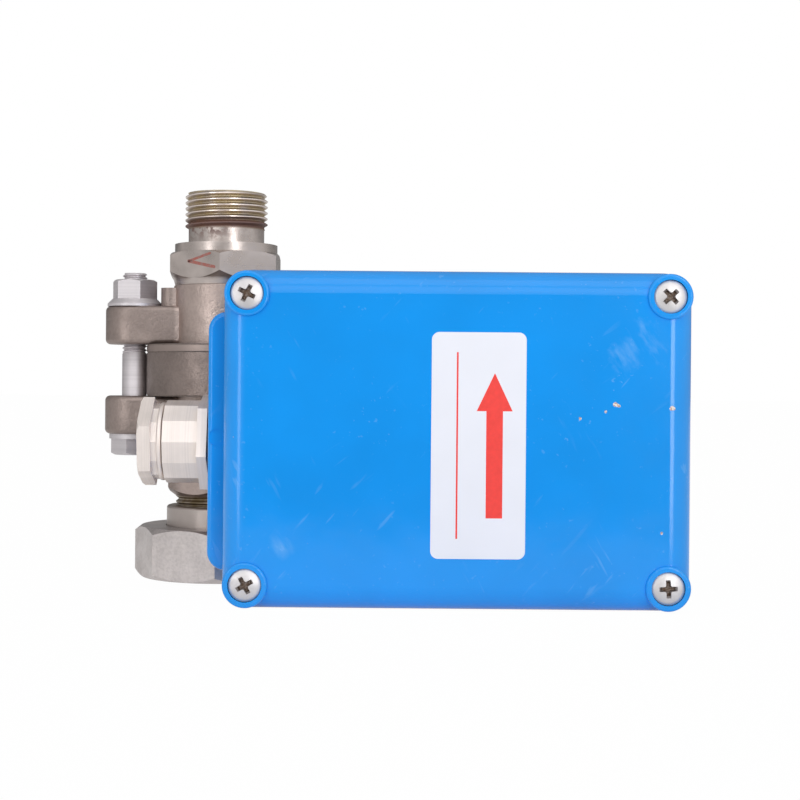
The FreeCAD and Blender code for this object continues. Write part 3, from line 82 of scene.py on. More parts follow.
# Fitter's tick from the top of the outlet, in millimetres: its corner, then the end and width of each stroke
TICK_CORNER = (-2.3, -23.2)
TICK_STROKES = ((6.1, -20.9, 0.8), (7.7, -25.3, 1.0))
# Turns of the cover screws in degrees, by their side and row
SCREW_TURNS = {(0, 1): -27, (1, 1): 44, (0, 0): 29, (1, 0): 3}
# Outlines of the label's print from its middle, in millimetres
ARROW = ((2.2, -21), (7.0, -21), (7.0, 10), (9.8, 10), (4.6, 21), (-0.6, 10), (2.2, 10))
RULE = ((-6.45, -27), (-5.95, -27), (-5.95, 27), (-6.45, 27))
# Soft boxes, in metres: name, place, width and height, share of the lamp brightness
LAMPS = (("left", (-0.52, -0.80, 0.16), (0.22, 0.7), 1.0), ("right", (0.46, -0.92, 0.18), (0.22, 0.7), 1.8),
         ("front", (0.05, -0.92, 0.46), (0.8, 0.5), 0.28), ("above", (0.05, -0.45, 0.85), (0.9, 0.5), 0.28))
# Direction of the dim part of the room round the camera
CAMERA_SIDE = (0.02, -0.994, -0.105)


def corner(node, end):
    """The lowest (0) or highest (1) corner of a node."""
    return Vector(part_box(node)[end])


def ends_of(node):
    return corner(node, 0), corner(node, 1)


def colour(name, about, value):
    return FloatVectorProperty(name=name, description=about, subtype="COLOR", size=4, min=0, max=1,
                               default=(*value, 1))


def length(name, about, value):
    return FloatProperty(name=name, description=about, default=value * MM, unit="LENGTH", precision=5)


class FlowFinishes(bpy.types.PropertyGroup):
    """Colours of the finishes"""
    enamel: colour("Enamel", "Thick blue enamel on the box", (0.003, 0.303, 0.86))
    primer: colour("Chips", "What shows where the enamel is chipped", (0.42, 0.27, 0.20))
    cast: colour("Cast steel", "Satin stainless castings of the flow line", (0.325, 0.265, 0.241))
    turned: colour("Turned steel", "Turned stainless nipples", (0.51, 0.45, 0.42))
    nut: colour("Union nut", "Dull turned steel", (0.62, 0.57, 0.555))
    zinc: colour("Zinc", "Plated bolts and sheet", (0.67, 0.635, 0.65))
    bright: colour("Stainless", "Bright screws, stem and lever", (0.76, 0.735, 0.74))
    nickel: colour("Nickel", "Plated cable gland", (0.88, 0.80, 0.75))
    brass: colour("Brass", "Bush, terminals and earth screw", (0.72, 0.50, 0.20))
    rust: colour("Rust", "Stains in the outlet thread", (0.105, 0.03, 0.017))
    rubber: colour("Rubber", "Seals and diaphragm", (0.018, 0.018, 0.019))
    moulded: colour("Moulding", "Switch case and knob", (0.022, 0.022, 0.025))
    plunger: colour("Plunger", "Switch plunger", (0.50, 0.03, 0.02))
    label: colour("Label", "Bare vinyl of the label", (0.84, 0.855, 0.93))
    red: colour("Red", "Red of the flow arrow", (0.86, 0.045, 0.035))
    tick: colour("Tick", "Worn red paint of the fitter's tick", (0.36, 0.11, 0.085))
    fibre: colour("Fibre", "Pressed fibre of the flat gaskets", (0.17, 0.14, 0.125))
    # Brown that the cover screws take deeper than a little behind the tops of their heads
    grime: colour("Grime", "Dirt in screw recesses", (0.16, 0.11, 0.08))


class FlowSizes(bpy.types.PropertyGroup):
    """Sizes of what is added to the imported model"""
    pipe_pitch: length("Pipe pitch", "Pitch of the pipe threads", 1.9)
    pipe_depth: length("Pipe depth", "Depth of the pipe threads", 1.1)
    pipe_length: length("Pipe length", "Length of the outlet thread", 11.9)
    pipe_radius: length("Pipe radius", "Crest radius of the outlet thread", 13.5)
    joint_radius: length("Joint radius", "Crest radius of the thread that shows above the union", 15.8)
    joint_show: length("Joint show", "Length of that thread that shows", 3.3)
    facet: length("Tick facet", "Facet with the fitter's tick from the flow axis", 17.15)
    tick_film: length("Tick film", "Thickness of the fitter's paint", 0.04)
    # Within this radius of the flow axis the cast steel is painted lighter: painted light on the caps' necks
    lit_neck_radius: length("Neck radius", "Clean round necks of the caps", 17.6)
    gasket_radius: length("Gasket radius", "Flat gaskets of the flow line", 25.4)
    bolt_offset: length("Bolt offset", "Tie bolts from the flow axis", 30)
    bolt_radius: length("Bolt radius", "Crest radius of the tie bolts", 4)
    bolt_pitch: length("Bolt pitch", "Pitch of the tie bolts", 1.25)
    bolt_depth: length("Bolt depth", "Thread depth of the tie bolts", 0.62)
    bolt_thread: length("Bolt thread", "Threaded end of the tie bolts", 26.6)
    bolt_fade: length("Bolt fade", "Run-out of that thread", 0.8)
    nut_crown: length("Nut crown", "Radius where the chamfer of a tie nut or bolt head starts", 6.2)
    nut_reach: length("Nut reach", "Radius that this chamfer is cut out to", 9)
    nut_slope: FloatProperty(name="Nut slope", description="Slope of this chamfer", subtype="ANGLE",
                             default=math.radians(28))
    head_radius: length("Head radius", "Cover screw heads", 4.8)
    head_rise: length("Head rise", "Dome of the cover screw heads", 1.0)
    head_edge: length("Head edge", "Straight edge of the cover screw heads", 2.2)
    head_shank: length("Head shank", "Shank of the cover screws below the head", 8)
    recess_span: length("Recess span", "Cross recess, over its arms", 5.9)
    recess_width: length("Recess width", "Arm of the cross recess", 1.5)
    recess_depth: length("Recess depth", "Depth of the cross recess", 1.7)
    slot_width: length("Slot width", "Slots of the small screws", 0.9)
    slot_depth: length("Slot depth", "Depth of these slots", 0.7)
    face_depth: length("Face depth", "Cover's face behind the front of its screw heads", 1.3)
    label_x: length("Label place", "Middle of the label from the flow axis", 80.5)
    label_z: length("Label level", "Middle of the label above the union's mouth", 45.5)
    label_width: length("Label width", "Label across", 27.4)
    label_height: length("Label height", "Label up and down", 65.6)
    label_round: length("Label corners", "Rounded corners of the label", 2.2)
    label_film: length("Label film", "Thickness of the label", 0.15)
    print_film: length("Print film", "Thickness of the label's print", 0.02)
    disc_gap: length("Disc gap", "Moving middle of the diaphragm beyond the discs", 0.2)
    disc_hole: length("Disc hole", "Radius of the hole for the stem in the diaphragm", 3.05)
    spring_travel: length("Spring travel", "How far the lever's end presses the range spring", 1.25)
    dial_radius: length("Dial radius", "Outer ends of the dial's ticks", 10.6)
    dial_long: length("Dial long", "Length of each fifth tick", 1.8)
    dial_short: length("Dial short", "Length of the other ticks", 1.2)
    dial_width: length("Dial width", "Width of the ticks", 0.3)
    dial_film: length("Dial film", "Thickness of the ticks", 0.03)
    line_length: length("Line length", "Pale line on the knob", 5.6)
    line_width: length("Line width", "Width of this line", 1.1)
    line_offset: length("Line offset", "Middle of this line from the knob's axis", 3.4)
    line_depth: length("Line depth", "Foot of this line behind the knob's front", 0.7)
    line_film: length("Line film", "Thickness of this line", 0.4)
    steps: IntProperty(name="Steps", description="Steps of one turn of a thread", default=64, min=12)


class FlowStage(bpy.types.PropertyGroup):
    """Camera, lamps and floor"""
    eye: FloatVectorProperty(name="Eye", description="Place of the camera", subtype="XYZ", unit="LENGTH",
                             default=(0.05766, -0.528, 0.06285), precision=4)
    lens: FloatProperty(name="Lens", description="Focal length in millimetres", default=72)
    shift: FloatProperty(name="Shift", description="Upward shift of the frame", default=-0.01875, precision=5)
    roll: FloatProperty(name="Roll", description="Turn of the camera about its line of sight",
                        subtype="ANGLE", default=math.radians(0.5))
    room: FloatProperty(name="Room light", description="Strength of the room's light", default=0.575)
    mirrored: FloatProperty(name="Mirrored white", description="Share of the white that metal mirrors",
                            default=0.9, subtype="FACTOR", min=0, max=1)
    lamp: FloatProperty(name="Lamp brightness", description="Watts of a soft box for each square metre",
                        default=8)
    paper: FloatProperty(name="Paper white", description="Share of plain white in the floor", default=0.985,
                         subtype="FACTOR", min=0, max=1)


# Node helpers

def empty_tree(owner):
    """The cleared node tree of a material or world."""
    owner.use_nodes = True
    owner.node_tree.nodes.clear()
    return owner.node_tree


def put(tree, kind, settings=None, values=None):
    """A new shader node; a socket among the values is linked, anything else is set."""
    node = tree.nodes.new("ShaderNode" + kind)
    for name, value in (settings or {}).items():
        setattr(node, name, value)
    for name, value in (values or {}).items():
        if isinstance(value, bpy.types.NodeSocket):
            tree.links.new(value, node.inputs[name])
        else:
            node.inputs[name].default_value = value
    return node


def noise(tree, place, scale, detail, stretch=None):
    if stretch:
        place = put(tree, "Mapping", None, {"Vector": place, "Scale": stretch}).outputs[0]
    return put(tree, "TexNoise", None, {"Vector": place, "Scale": scale, "Detail": detail}).outputs[0]


def ramp(tree, value, low, high, start=0.0, end=1.0):
    """The value mapped from low and high to start and end, held at both."""
    return put(tree, "MapRange", None, {"Value": value, "From Min": low, "From Max": high, "To Min": start,
                                        "To Max": end}).outputs[0]


def clouds(tree, place, scale, detail, low, high, start=0.0, end=1.0, stretch=None):
    """A noise, ramped."""
    return ramp(tree, noise(tree, place, scale, detail, stretch), low, high, start, end)


def maths(tree, kind, first, *others):
    """The values joined one after the other by that operation."""
    for other in others:
        first = put(tree, "Math", {"operation": kind}, {0: first, 1: other}).outputs[0]
    return first


def times(tree, *values):
    return maths(tree, "MULTIPLY", *values)


def most(tree, *values):
    return maths(tree, "MAXIMUM", *values)


def total(tree, *values):
    return maths(tree, "ADD", *values)


def blend(tree, share, first, second, kind="MIX"):
    """Colours mixed by share."""
    settings = {"data_type": "RGBA", "blend_type": kind}
    return put(tree, "Mix", settings, {0: share, 6: first, 7: second}).outputs[2]


def shade(value, factor):
    """A colour made darker or lighter."""
    return (*[min(1, part * factor) for part in value[:3]], 1)


def turned_place(tree, place, angles):
    return put(tree, "Mapping", None, {"Vector": place, "Rotation": angles}).outputs[0]


def parts_of(tree, vector):
    return put(tree, "SeparateXYZ", None, {"Vector": vector}).outputs


def from_axis(tree, parts):
    """Distance from the Z axis."""
    flat = put(tree, "CombineXYZ", None, {"X": parts[0], "Y": parts[1]}).outputs[0]
    return put(tree, "VectorMath", {"operation": "LENGTH"}, {0: flat}).outputs["Value"]


def new_group(name, inputs, outputs):
    """A shader node group with those named sockets: the tree, its inputs and its outputs."""
    tree = bpy.data.node_groups.new(name, "ShaderNodeTree")
    for label, kind, value in inputs:
        socket = tree.interface.new_socket(label, in_out="INPUT", socket_type="NodeSocket" + kind)
        if value is not None:
            socket.default_value = value
    for label in outputs:
        tree.interface.new_socket(label, in_out="OUTPUT", socket_type="NodeSocketFloat")
    return tree, tree.nodes.new("NodeGroupInput").outputs, tree.nodes.new("NodeGroupOutput").inputs


def handling_wear():
    """Fine scuffs, small chips and the orange peel of sprayed enamel."""
    inputs = [("Place", "Vector", None), ("Scuffs", "Float", 0.5), ("Chips", "Float", 0.5)]
    tree, given, out = new_group("Handling wear", inputs, ["Scuff", "Chip", "Peel"])
    place = given["Place"]
    scuff = times(tree, clouds(tree, place, 760, 2, 0.68, 0.76), clouds(tree, place, 45, 2, 0.42, 0.60))
    for turn, scale, where in ((0.5, 420, 30), (2.2, 360, 24), (-0.7, 500, 36)):
        turned = turned_place(tree, place, (0, turn, 0))
        streak = clouds(tree, turned, scale, 2, 0.66, 0.72, stretch=(1, 1, 0.14))
        scuff = most(tree, scuff, times(tree, streak, clouds(tree, turned, where, 2, 0.54, 0.66)))
    chips = times(tree, clouds(tree, place, 240, 4, 0.745, 0.765), clouds(tree, place, 31, 1, 0.60, 0.63))
    waves = times(tree, noise(tree, place, 75, 1), 0.8)
    peel = times(tree, noise(tree, place, 330, 2), 0.10)
    tree.links.new(times(tree, scuff, given["Scuffs"]), out["Scuff"])
    tree.links.new(times(tree, chips, given["Chips"]), out["Chip"])
    tree.links.new(total(tree, waves, peel), out["Peel"])
    return tree


def cast_grain():
    """Sand cast skin: grain to feel, brown stains and a gloss that changes over it."""
    inputs = [("Place", "Vector", None), ("Grain", "Float", 1500.0)]
    tree, given, out = new_group("Cast grain", inputs, ["Height", "Stain", "Gloss"])
    place = given["Place"]
    fine = noise(tree, place, given["Grain"], 4)
    stain = times(tree, clouds(tree, place, 95, 6, 0.35, 0.72), 0.65)
    fleck = times(tree, clouds(tree, place, 1100, 3, 0.4, 0.66), 0.35)
    tree.links.new(times(tree, fine, clouds(tree, place, 620, 3, 0.30, 0.42)), out["Height"])
    tree.links.new(total(tree, stain, fleck), out["Stain"])
    tree.links.new(clouds(tree, place, 160, 4, 0.3, 0.7, 0.34, 0.54), out["Gloss"])
    return tree


def turned_lines():
    """Fine tool marks round an axis that lies along the third coordinate of Place."""
    inputs = [("Place", "Vector", None), ("Lines", "Float", 3000.0)]
    tree, given, out = new_group("Turned lines", inputs, ["Height", "Tone"])
    along = parts_of(tree, given["Place"])[2]
    marks = []
    for scale in (given["Lines"], 420.0):
        mark = put(tree, "TexNoise", {"noise_dimensions": "1D"}, {"W": along, "Scale": scale, "Detail": 2.0})
        marks.append(mark.outputs[0])
    tree.links.new(marks[0], out["Height"])
    tree.links.new(times(tree, *marks), out["Tone"])
    return tree


GROUPS = {}


def effect(tree, maker, values):
    """Places a shared effect in a material, building it the first time."""
    name = maker.__name__
    if name not in GROUPS:
        GROUPS[name] = maker()
    return put(tree, "Group", {"node_tree": GROUPS[name]}, values).outputs


def new_material(name, metallic=0.0, sockets=None):
    """A material with a Principled shader: the material, its tree, the shader and the place on the object."""
    material = bpy.data.materials.new(name)
    tree = empty_tree(material)
    shader = put(tree, "BsdfPrincipled", None, {"Metallic": metallic, **(sockets or {})})
    put(tree, "OutputMaterial", None, {"Surface": shader.outputs[0]})
    place = put(tree, "TexCoord").outputs["Object"]
    return material, tree, shader, place


def link_up(tree, shader, tone, rough, relief=None):
    """Links colour and roughness, and relief given as its height, strength and depth in metres."""
    tree.links.new(tone, shader.inputs["Base Color"])
    tree.links.new(rough, shader.inputs["Roughness"])
    if relief:
        height, strength, depth = relief
        bump = put(tree, "Bump", None, {"Strength": strength, "Distance": depth, "Height": height})
        tree.links.new(bump.outputs[0], shader.inputs["Normal"])


# Materials

def spots(tree, place, face, marks, blur):
    """1 in ragged spots on the cover's face, fading to 0 over blur."""
    ragged = put(tree, "TexNoise", None, {"Vector": place, "Scale": 700.0, "Detail": 3.0}).outputs["Color"]
    found = []
    for x, z, width in marks:
        size = width * MM
        shake = 1.4 * size
        shaken = blend(tree, shake, place, ragged, "LINEAR_LIGHT")
        centre = (x * MM, face, z * MM)
        gap = put(tree, "VectorMath", {"operation": "DISTANCE"}, {0: shaken, 1: centre}).outputs["Value"]
        found.append(ramp(tree, gap, size, size + blur, 1.0, 0.0))
    return most(tree, *found)


def enamel(finish, face):
    """Blue enamel, wavy and worn, with chips, and pale patches on the cover's face that are partly smears and
    partly painted highlights.
    """
    material, tree, shader, place = new_material("enamel", 0.0, {"Specular IOR Level": 0.5})
    wear = effect(tree, handling_wear, {"Place": place, "Scuffs": 0.8, "Chips": 1.0})
    cloud = clouds(tree, place, 38, 2, 0.3, 0.7)
    body = blend(tree, cloud, shade(finish.enamel, 0.95), shade(finish.enamel, 1.05))
    # Pale patches at the listed places: partly smears, partly painted highlights of lamps in dents of the
    # enamel
    smear_streaks = turned_place(tree, place, (0, 0.6, 0))
    smear_and_highlight = times(tree, spots(tree, place, face, SMEARS_AND_HIGHLIGHTS, 4 * MM),
                  clouds(tree, smear_streaks, 330, 4, 0.42, 0.68, stretch=(1, 1, 0.3)))
    chip = most(tree, wear["Chip"], spots(tree, place, face, CHIPS, 0.15 * MM))
    pale = most(tree, times(tree, wear["Scuff"], 0.22), times(tree, smear_and_highlight, 0.36))
    scuffed_and_highlighted = blend(tree, pale, body, (0.30, 0.60, 0.95, 1))
    bare = blend(tree, clouds(tree, place, 1500, 2, 0.42, 0.58), finish.primer, (0.86, 0.78, 0.72, 1))
    rough = ramp(tree, total(tree, pale, chip), 0, 1, 0.15, 0.6)
    height = maths(tree, "SUBTRACT", wear["Peel"], times(tree, chip, 0.25))
    link_up(tree, shader, blend(tree, chip, scuffed_and_highlighted, bare), rough, (height, 0.5, 0.0004))
    return material


def cast_metal(name, tint, grain=1500.0, depth=0.0003, neck=0.0):
    """Cast metal; within the neck radius of the flow axis it is painted lighter, as painted light on the
    caps' necks where the box shades them.
    """
    material, tree, shader, place = new_material(name, metallic=1.0)
    skin = effect(tree, cast_grain, {"Place": place, "Grain": grain})
    body = blend(tree, skin["Stain"], shade(tint, 1.06), shade(tint, 0.74))
    # Painted light: within the neck radius the colour is lighter, standing in for light on the shaded necks
    # of the caps
    if neck:
        clean = ramp(tree, from_axis(tree, parts_of(tree, place)), neck, neck + MM, 1, 0)
        body = blend(tree, clean, body, blend(tree, skin["Stain"], shade(tint, 1.6), shade(tint, 1.15)))
    link_up(tree, shader, body, skin["Gloss"], (skin["Height"], 0.35, depth))
    return material


def turned_metal(name, tint, along=None, gloss=(0.22, 0.38), lines=2600.0):
    """Metal with fine tool marks, round the Z axis unless the place is turned."""
    material, tree, shader, place = new_material(name, metallic=1.0)
    axis = turned_place(tree, place, along) if along else place
    marks = effect(tree, turned_lines, {"Place": axis, "Lines": lines})
    cloud = clouds(tree, place, 140, 4, 0.3, 0.7)
    clean = blend(tree, cloud, shade(tint, 0.93), shade(tint, 1.04))
    worked = times(tree, ramp(tree, marks["Tone"], 0.16, 0.40), 0.15)
    tone = blend(tree, worked, clean, shade(tint, 0.5))
    rough = ramp(tree, total(tree, cloud, marks["Tone"]), 0.0, 1.4, *gloss)
    link_up(tree, shader, tone, rough, (marks["Height"], 0.12, 0.00008))
    return material


def turned_steel(tree, place, tint):
    """Tool marks, clouds and colour of a turned nipple."""
    marks = effect(tree, turned_lines, {"Place": place, "Lines": 2600.0})
    cloud = clouds(tree, place, 160, 5, 0.3, 0.7)
    return marks, cloud, blend(tree, cloud, shade(tint, 0.86), shade(tint, 1.05))


def outlet_metal(finish, crest, low, high):
    """Turned steel with rust that has run from the thread between two levels down the neck."""
    material, tree, shader, place = new_material("outlet_steel", metallic=1.0)
    marks, cloud, steel = turned_steel(tree, place, finish.turned)
    parts = parts_of(tree, place)
    level = parts[2]
    radius = from_axis(tree, parts)
    groove = ramp(tree, radius, crest - 0.7 * MM, crest - 0.15 * MM, 1, 0)
    foot = ramp(tree, level, low + 2.2 * MM, low + 4.2 * MM, 1, 0)
    reach = ramp(tree, level, low - 5 * MM, low - 0.5 * MM)
    side = ramp(tree, parts[0], -MM, 4 * MM, 1.0, 0.2)
    neck = times(tree, foot, reach, clouds(tree, place, 620, 5, 0.46, 0.60), side)
    threaded = ramp(tree, level, low - 0.4 * MM, low + 0.4 * MM)
    in_groove = times(tree, groove, threaded, clouds(tree, place, 210, 3, 0.30, 0.62, 0.25, 0.85))
    last = times(tree, foot, threaded, 0.9)
    rust = most(tree, in_groove, last, times(tree, neck, 0.8))
    brown = times(tree, rust, foot)
    straw = blend(tree, ramp(tree, level, low, high), (0.44, 0.33, 0.15, 1), (0.58, 0.48, 0.28, 1))
    crests = times(tree, ramp(tree, radius, crest - 0.3 * MM, crest - HAIR), threaded)
    worn = blend(tree, crests, steel, shade(finish.turned, 1.75))
    tinted = blend(tree, times(tree, in_groove, 0.85), worn, straw)
    tree.links.new(ramp(tree, brown, 0.2, 0.9, 1.0, 0.1), shader.inputs["Metallic"])
    rough = ramp(tree, total(tree, cloud, rust), 0.0, 1.6, 0.20, 0.6)
    height = total(tree, marks["Height"], times(tree, neck, 2.0))
    link_up(tree, shader, blend(tree, brown, tinted, finish.rust), rough, (height, 0.15, 0.0001))
    return material


def inlet_metal(finish, low):
    """Turned steel with olive grime in the thread above its rim."""
    material, tree, shader, place = new_material("inlet_steel", metallic=1.0)
    marks, cloud, steel = turned_steel(tree, place, shade(finish.turned, 0.92))
    thread = ramp(tree, parts_of(tree, place)[2], low - 0.2 * MM, low + 0.2 * MM)
    grime = times(tree, thread, clouds(tree, place, 300, 4, 0.3, 0.6, 0.35, 0.9))
    tone = blend(tree, grime, steel, (0.20, 0.15, 0.075, 1))
    rough = ramp(tree, total(tree, cloud, marks["Tone"]), 0.0, 1.4, 0.32, 0.5)
    link_up(tree, shader, tone, rough, (marks["Height"], 0.12, 0.00008))
    return material


def screw_metal(finish, top):
    """Bright stainless that turns brown deeper than a little behind the top of the head."""
    material, tree, shader, place = new_material("screw_steel", metallic=1.0)
    deep = ramp(tree, parts_of(tree, place)[1], top + 0.9 * MM, top + 1.3 * MM)
    brown_depth = times(tree, deep, clouds(tree, place, 1800, 3, 0.25, 0.55, 0.6, 1.0))
    cloud = clouds(tree, place, 300, 4, 0.3, 0.7)
    bright = blend(tree, cloud, shade(finish.bright, 0.80), shade(finish.bright, 0.92))
    rough = ramp(tree, total(tree, brown_depth, noise(tree, place, 500, 3)), 0.3, 1.5, 0.42, 0.7)
    skin = noise(tree, place, 1500, 3)
    link_up(tree, shader, blend(tree, brown_depth, bright, finish.grime), rough, (skin, 0.1, 0.00008))
    return material


def mottled(name, tint, other, cloud, gloss, skin=None, sockets=None):
    """A finish that changes colour and gloss in clouds; a skin is given as its scale, strength and depth."""
    material, tree, shader, place = new_material(name, 0.0, sockets)
    share = clouds(tree, place, *cloud)
    relief = None
    if skin:
        relief = (noise(tree, place, skin[0], 2), skin[1], skin[2])
    link_up(tree, shader, blend(tree, share, tint, other), ramp(tree, share, 0, 1, *gloss), relief)
    return material


def worn_paint(finish):
    """Red brush paint, thin enough in places for the steel to show through."""
    cloud = (900, 5, 0.46, 0.75, 0.0, 0.8)
    return mottled("tick_paint", finish.tick, shade(finish.cast, 0.85), cloud, (0.5, 0.4))


def fibre(finish):
    """Pressed fibre with short pale hairs."""
    cloud = (1600, 4, 0.4, 0.7, 0.0, 1.0, (1, 1, 4))
    return mottled("gasket_fibre", finish.fibre, shade(finish.fibre, 1.7), cloud, (0.75, 0.9),
                   sockets={"Specular IOR Level": 0.2})


def rubber(finish):
    """Black rubber with a little dust."""
    return mottled("rubber", finish.rubber, shade(finish.rubber, 3.2), (320, 5, 0.5, 0.8), (0.55, 0.8),
                   (2400, 0.2, 0.0001), {"Specular IOR Level": 0.35})


def moulding(name, tint, gloss):
    """Moulded plastic with a fine spark eroded skin."""
    return mottled(name, tint, shade(tint, 1.5), (210, 5, 0.45, 0.8), (gloss, gloss + 0.15),
                   (3200, 0.25, 0.00006))


def ink(finish):
    """Red print, thin in places."""
    return mottled("print_ink", finish.red, shade(finish.red, 1.12), (700, 4, 0.35, 0.8), (0.36, 0.5))


def vinyl(finish):
    """White label film, a little wavy over the paint."""
    coat = {"Coat Weight": 0.2, "Coat Roughness": 0.25}
    material, tree, shader, place = new_material("label_film", 0.0, coat)
    grey = clouds(tree, place, 60, 4, 0.35, 0.75)
    tone = blend(tree, grey, finish.label, shade(finish.label, 0.965))
    rough = clouds(tree, place, 240, 3, 0.3, 0.7, 0.32, 0.45)
    link_up(tree, shader, tone, rough, (noise(tree, place, 90, 2), 0.1, 0.0005))
    return material


# Mesh helpers

def copy_of(node):
    """A mesh with the node's own shape, its loose triangles joined."""
    shape = bmesh.new()
    shape.from_mesh(NODES[node].data)
    bmesh.ops.remove_doubles(shape, verts=shape.verts, dist=2e-7)
    return shape


def mesh_of(shape, name):
    """The shape as a mesh; the shape itself is freed."""
    mesh = bpy.data.meshes.new(name)
    shape.to_mesh(mesh)
    shape.free()
    return mesh


def add_object(name, data):
    item = bpy.data.objects.new(name, data)
    bpy.context.scene.collection.objects.link(item)
    return item


def join(shape, other):
    """Adds the other mesh to the shape and frees it."""
    mesh = mesh_of(other, "joined")
    shape.from_mesh(mesh)
    bpy.data.meshes.remove(mesh)


def move(shape, matrix):
    bmesh.ops.transform(shape, matrix=matrix, verts=shape.verts)


def facing_front(place, degrees=0.0):
    """The matrix that stands a flat shape up at a place, looking to the front, after a turn."""
    return Matrix.Translation(place) @ TO_FRONT @ Matrix.Rotation(math.radians(degrees), 4, "Z")


def finish_piece(shape, name, body, materials, sharp=34):
    """Makes the mesh an object that rides on a body, smooth where its faces meet at a small angle."""
    for face in shape.faces:
        face.smooth = True
    for edge in shape.edges:
        edge.smooth = edge.is_manifold and edge.calc_face_angle(0) < math.radians(sharp)
    piece = add_object(name, mesh_of(shape, name))
    for material in materials:
        piece.data.materials.append(material)
    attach(piece, body)
    return piece


def paint(material, *names):
    """Gives CAD nodes a finished material."""
    for name in names:
        for place in NODES[name].material_slots:
            place.material = material


def slice_at(shape, level, above=False, below=False):
    """Cuts the shape's faces at a level, and clears what is above or below it if asked."""
    everything = shape.verts[:] + shape.edges[:] + shape.faces[:]
    bmesh.ops.bisect_plane(shape, geom=everything, dist=1e-8, plane_co=(0, 0, level), plane_no=(0, 0, 1),
                           clear_outer=above, clear_inner=below)


def radius_of(vert, centre=0.0):
    """Distance from the upright line at X = centre."""
    return math.hypot(vert.co.x - centre, vert.co.y)


def pull_to(vert, radius, centre=0.0):
    """Moves a vertex sideways to that distance from the upright line at X = centre."""
    share = radius / radius_of(vert, centre)
    vert.co.x = centre + (vert.co.x - centre) * share
    vert.co.y *= share


def limit_radius(shape, limit):
    """Pulls each vertex in to the radius that limit gives for its level."""
    for vert in shape.verts:
        widest = limit(vert.co.z)
        if radius_of(vert) > widest:
            pull_to(vert, widest)


def thread_ridge(pitch, depth, crest, low, high, steps):
    """A closed helical ridge round the Z axis between two levels."""
    shape = bmesh.new()
    sunk = 0.15 * MM
    root = crest - depth - sunk
    flat = pitch / 14
    start = low - pitch
    outline = [(root, -pitch / 2), (crest, -flat), (crest, flat), (root, pitch / 2)]
    ring = [shape.verts.new((radius, 0, start + level)) for radius, level in outline]
    edges = [shape.edges.new(pair) for pair in zip(ring, ring[1:] + ring[:1])]
    turns = math.ceil((high - low) / pitch) + 2
    count = turns * steps
    bmesh.ops.spin(shape, geom=ring + edges, cent=(0, 0, 0), axis=(0, 0, 1), angle=2 * math.pi * turns,
                   dvec=(0, 0, turns * pitch / count), steps=count, use_merge=False, use_duplicate=False)
    slice_at(shape, high, above=True)
    slice_at(shape, low, below=True)
    bmesh.ops.holes_fill(shape, edges=[edge for edge in shape.edges if edge.is_boundary], sides=0)
    bmesh.ops.recalc_face_normals(shape, faces=shape.faces)
    return shape


def spun(outline, steps=48, closed=True):
    """A shape turned about Z from an outline of radius and level."""
    shape = bmesh.new()
    verts = [shape.verts.new((across, 0, level)) for across, level in outline]
    ends = verts[1:] + verts[:1] if closed else verts[1:]
    edges = [shape.edges.new(pair) for pair in zip(verts, ends)]
    bmesh.ops.spin(shape, geom=verts + edges, cent=(0, 0, 0), axis=(0, 0, 1), angle=2 * math.pi, steps=steps,
                   use_merge=True, use_duplicate=False)
    bmesh.ops.remove_doubles(shape, verts=shape.verts, dist=1e-7)
    bmesh.ops.recalc_face_normals(shape, faces=shape.faces)
    return shape


def hoop(inner, outer, low, high):
    """A flat ring about Z between two radii and two levels."""
    return spun([(inner, low), (outer, low), (outer, high), (inner, high)], steps=96)


def ring_cutter(inner, outer, slope):
    """A ring about Z that takes a chamfer of that slope off what stands up to the origin's level."""
    above = 0.02 * MM
    return spun([(inner, above), (outer, above), (outer, (inner - outer) * math.tan(slope))])


def domed_head(radius, rise, edge, shank):
    """A screw head turned about Z, its top at the origin, with a short shank below it."""
    foot = -rise - edge
    thin = 0.52 * radius
    ball = (radius ** 2 + rise ** 2) / (2 * rise)
    outline = [(0, foot - shank), (thin, foot - shank), (thin, foot), (radius, foot)]
    steps = 8
    for index in range(steps + 1):
        across = radius * (1 - index / steps)
        outline.append((across, math.sqrt(ball ** 2 - across ** 2) - ball))
    return spun(outline, closed=False)


def sweep(shape, rise):
    """Extrudes the flat shape along Z: the vertices of the new end."""
    made = bmesh.ops.extrude_face_region(shape, geom=shape.faces[:], use_keep_orig=True)["geom"]
    verts = [item for item in made if isinstance(item, bmesh.types.BMVert)]
    bmesh.ops.translate(shape, verts=verts, vec=(0, 0, rise))
    return verts


def raise_film(shape, thickness):
    """Gives the flat shape its thickness, towards +Z."""
    sweep(shape, thickness)
    bmesh.ops.recalc_face_normals(shape, faces=shape.faces)


def film(width, height, thickness, rounding=0.0, segments=4):
    """A thin plate about the origin, with round corners if asked."""
    shape = bmesh.new()
    bmesh.ops.create_grid(shape, x_segments=1, y_segments=1, size=0.5)
    bmesh.ops.scale(shape, verts=shape.verts, vec=(width, height, 1))
    if rounding:
        bmesh.ops.bevel(shape, geom=shape.verts[:], offset=rounding, offset_type="OFFSET", affect="VERTICES",
                        segments=segments, profile=0.5, material=-1)
    raise_film(shape, thickness)
    return shape


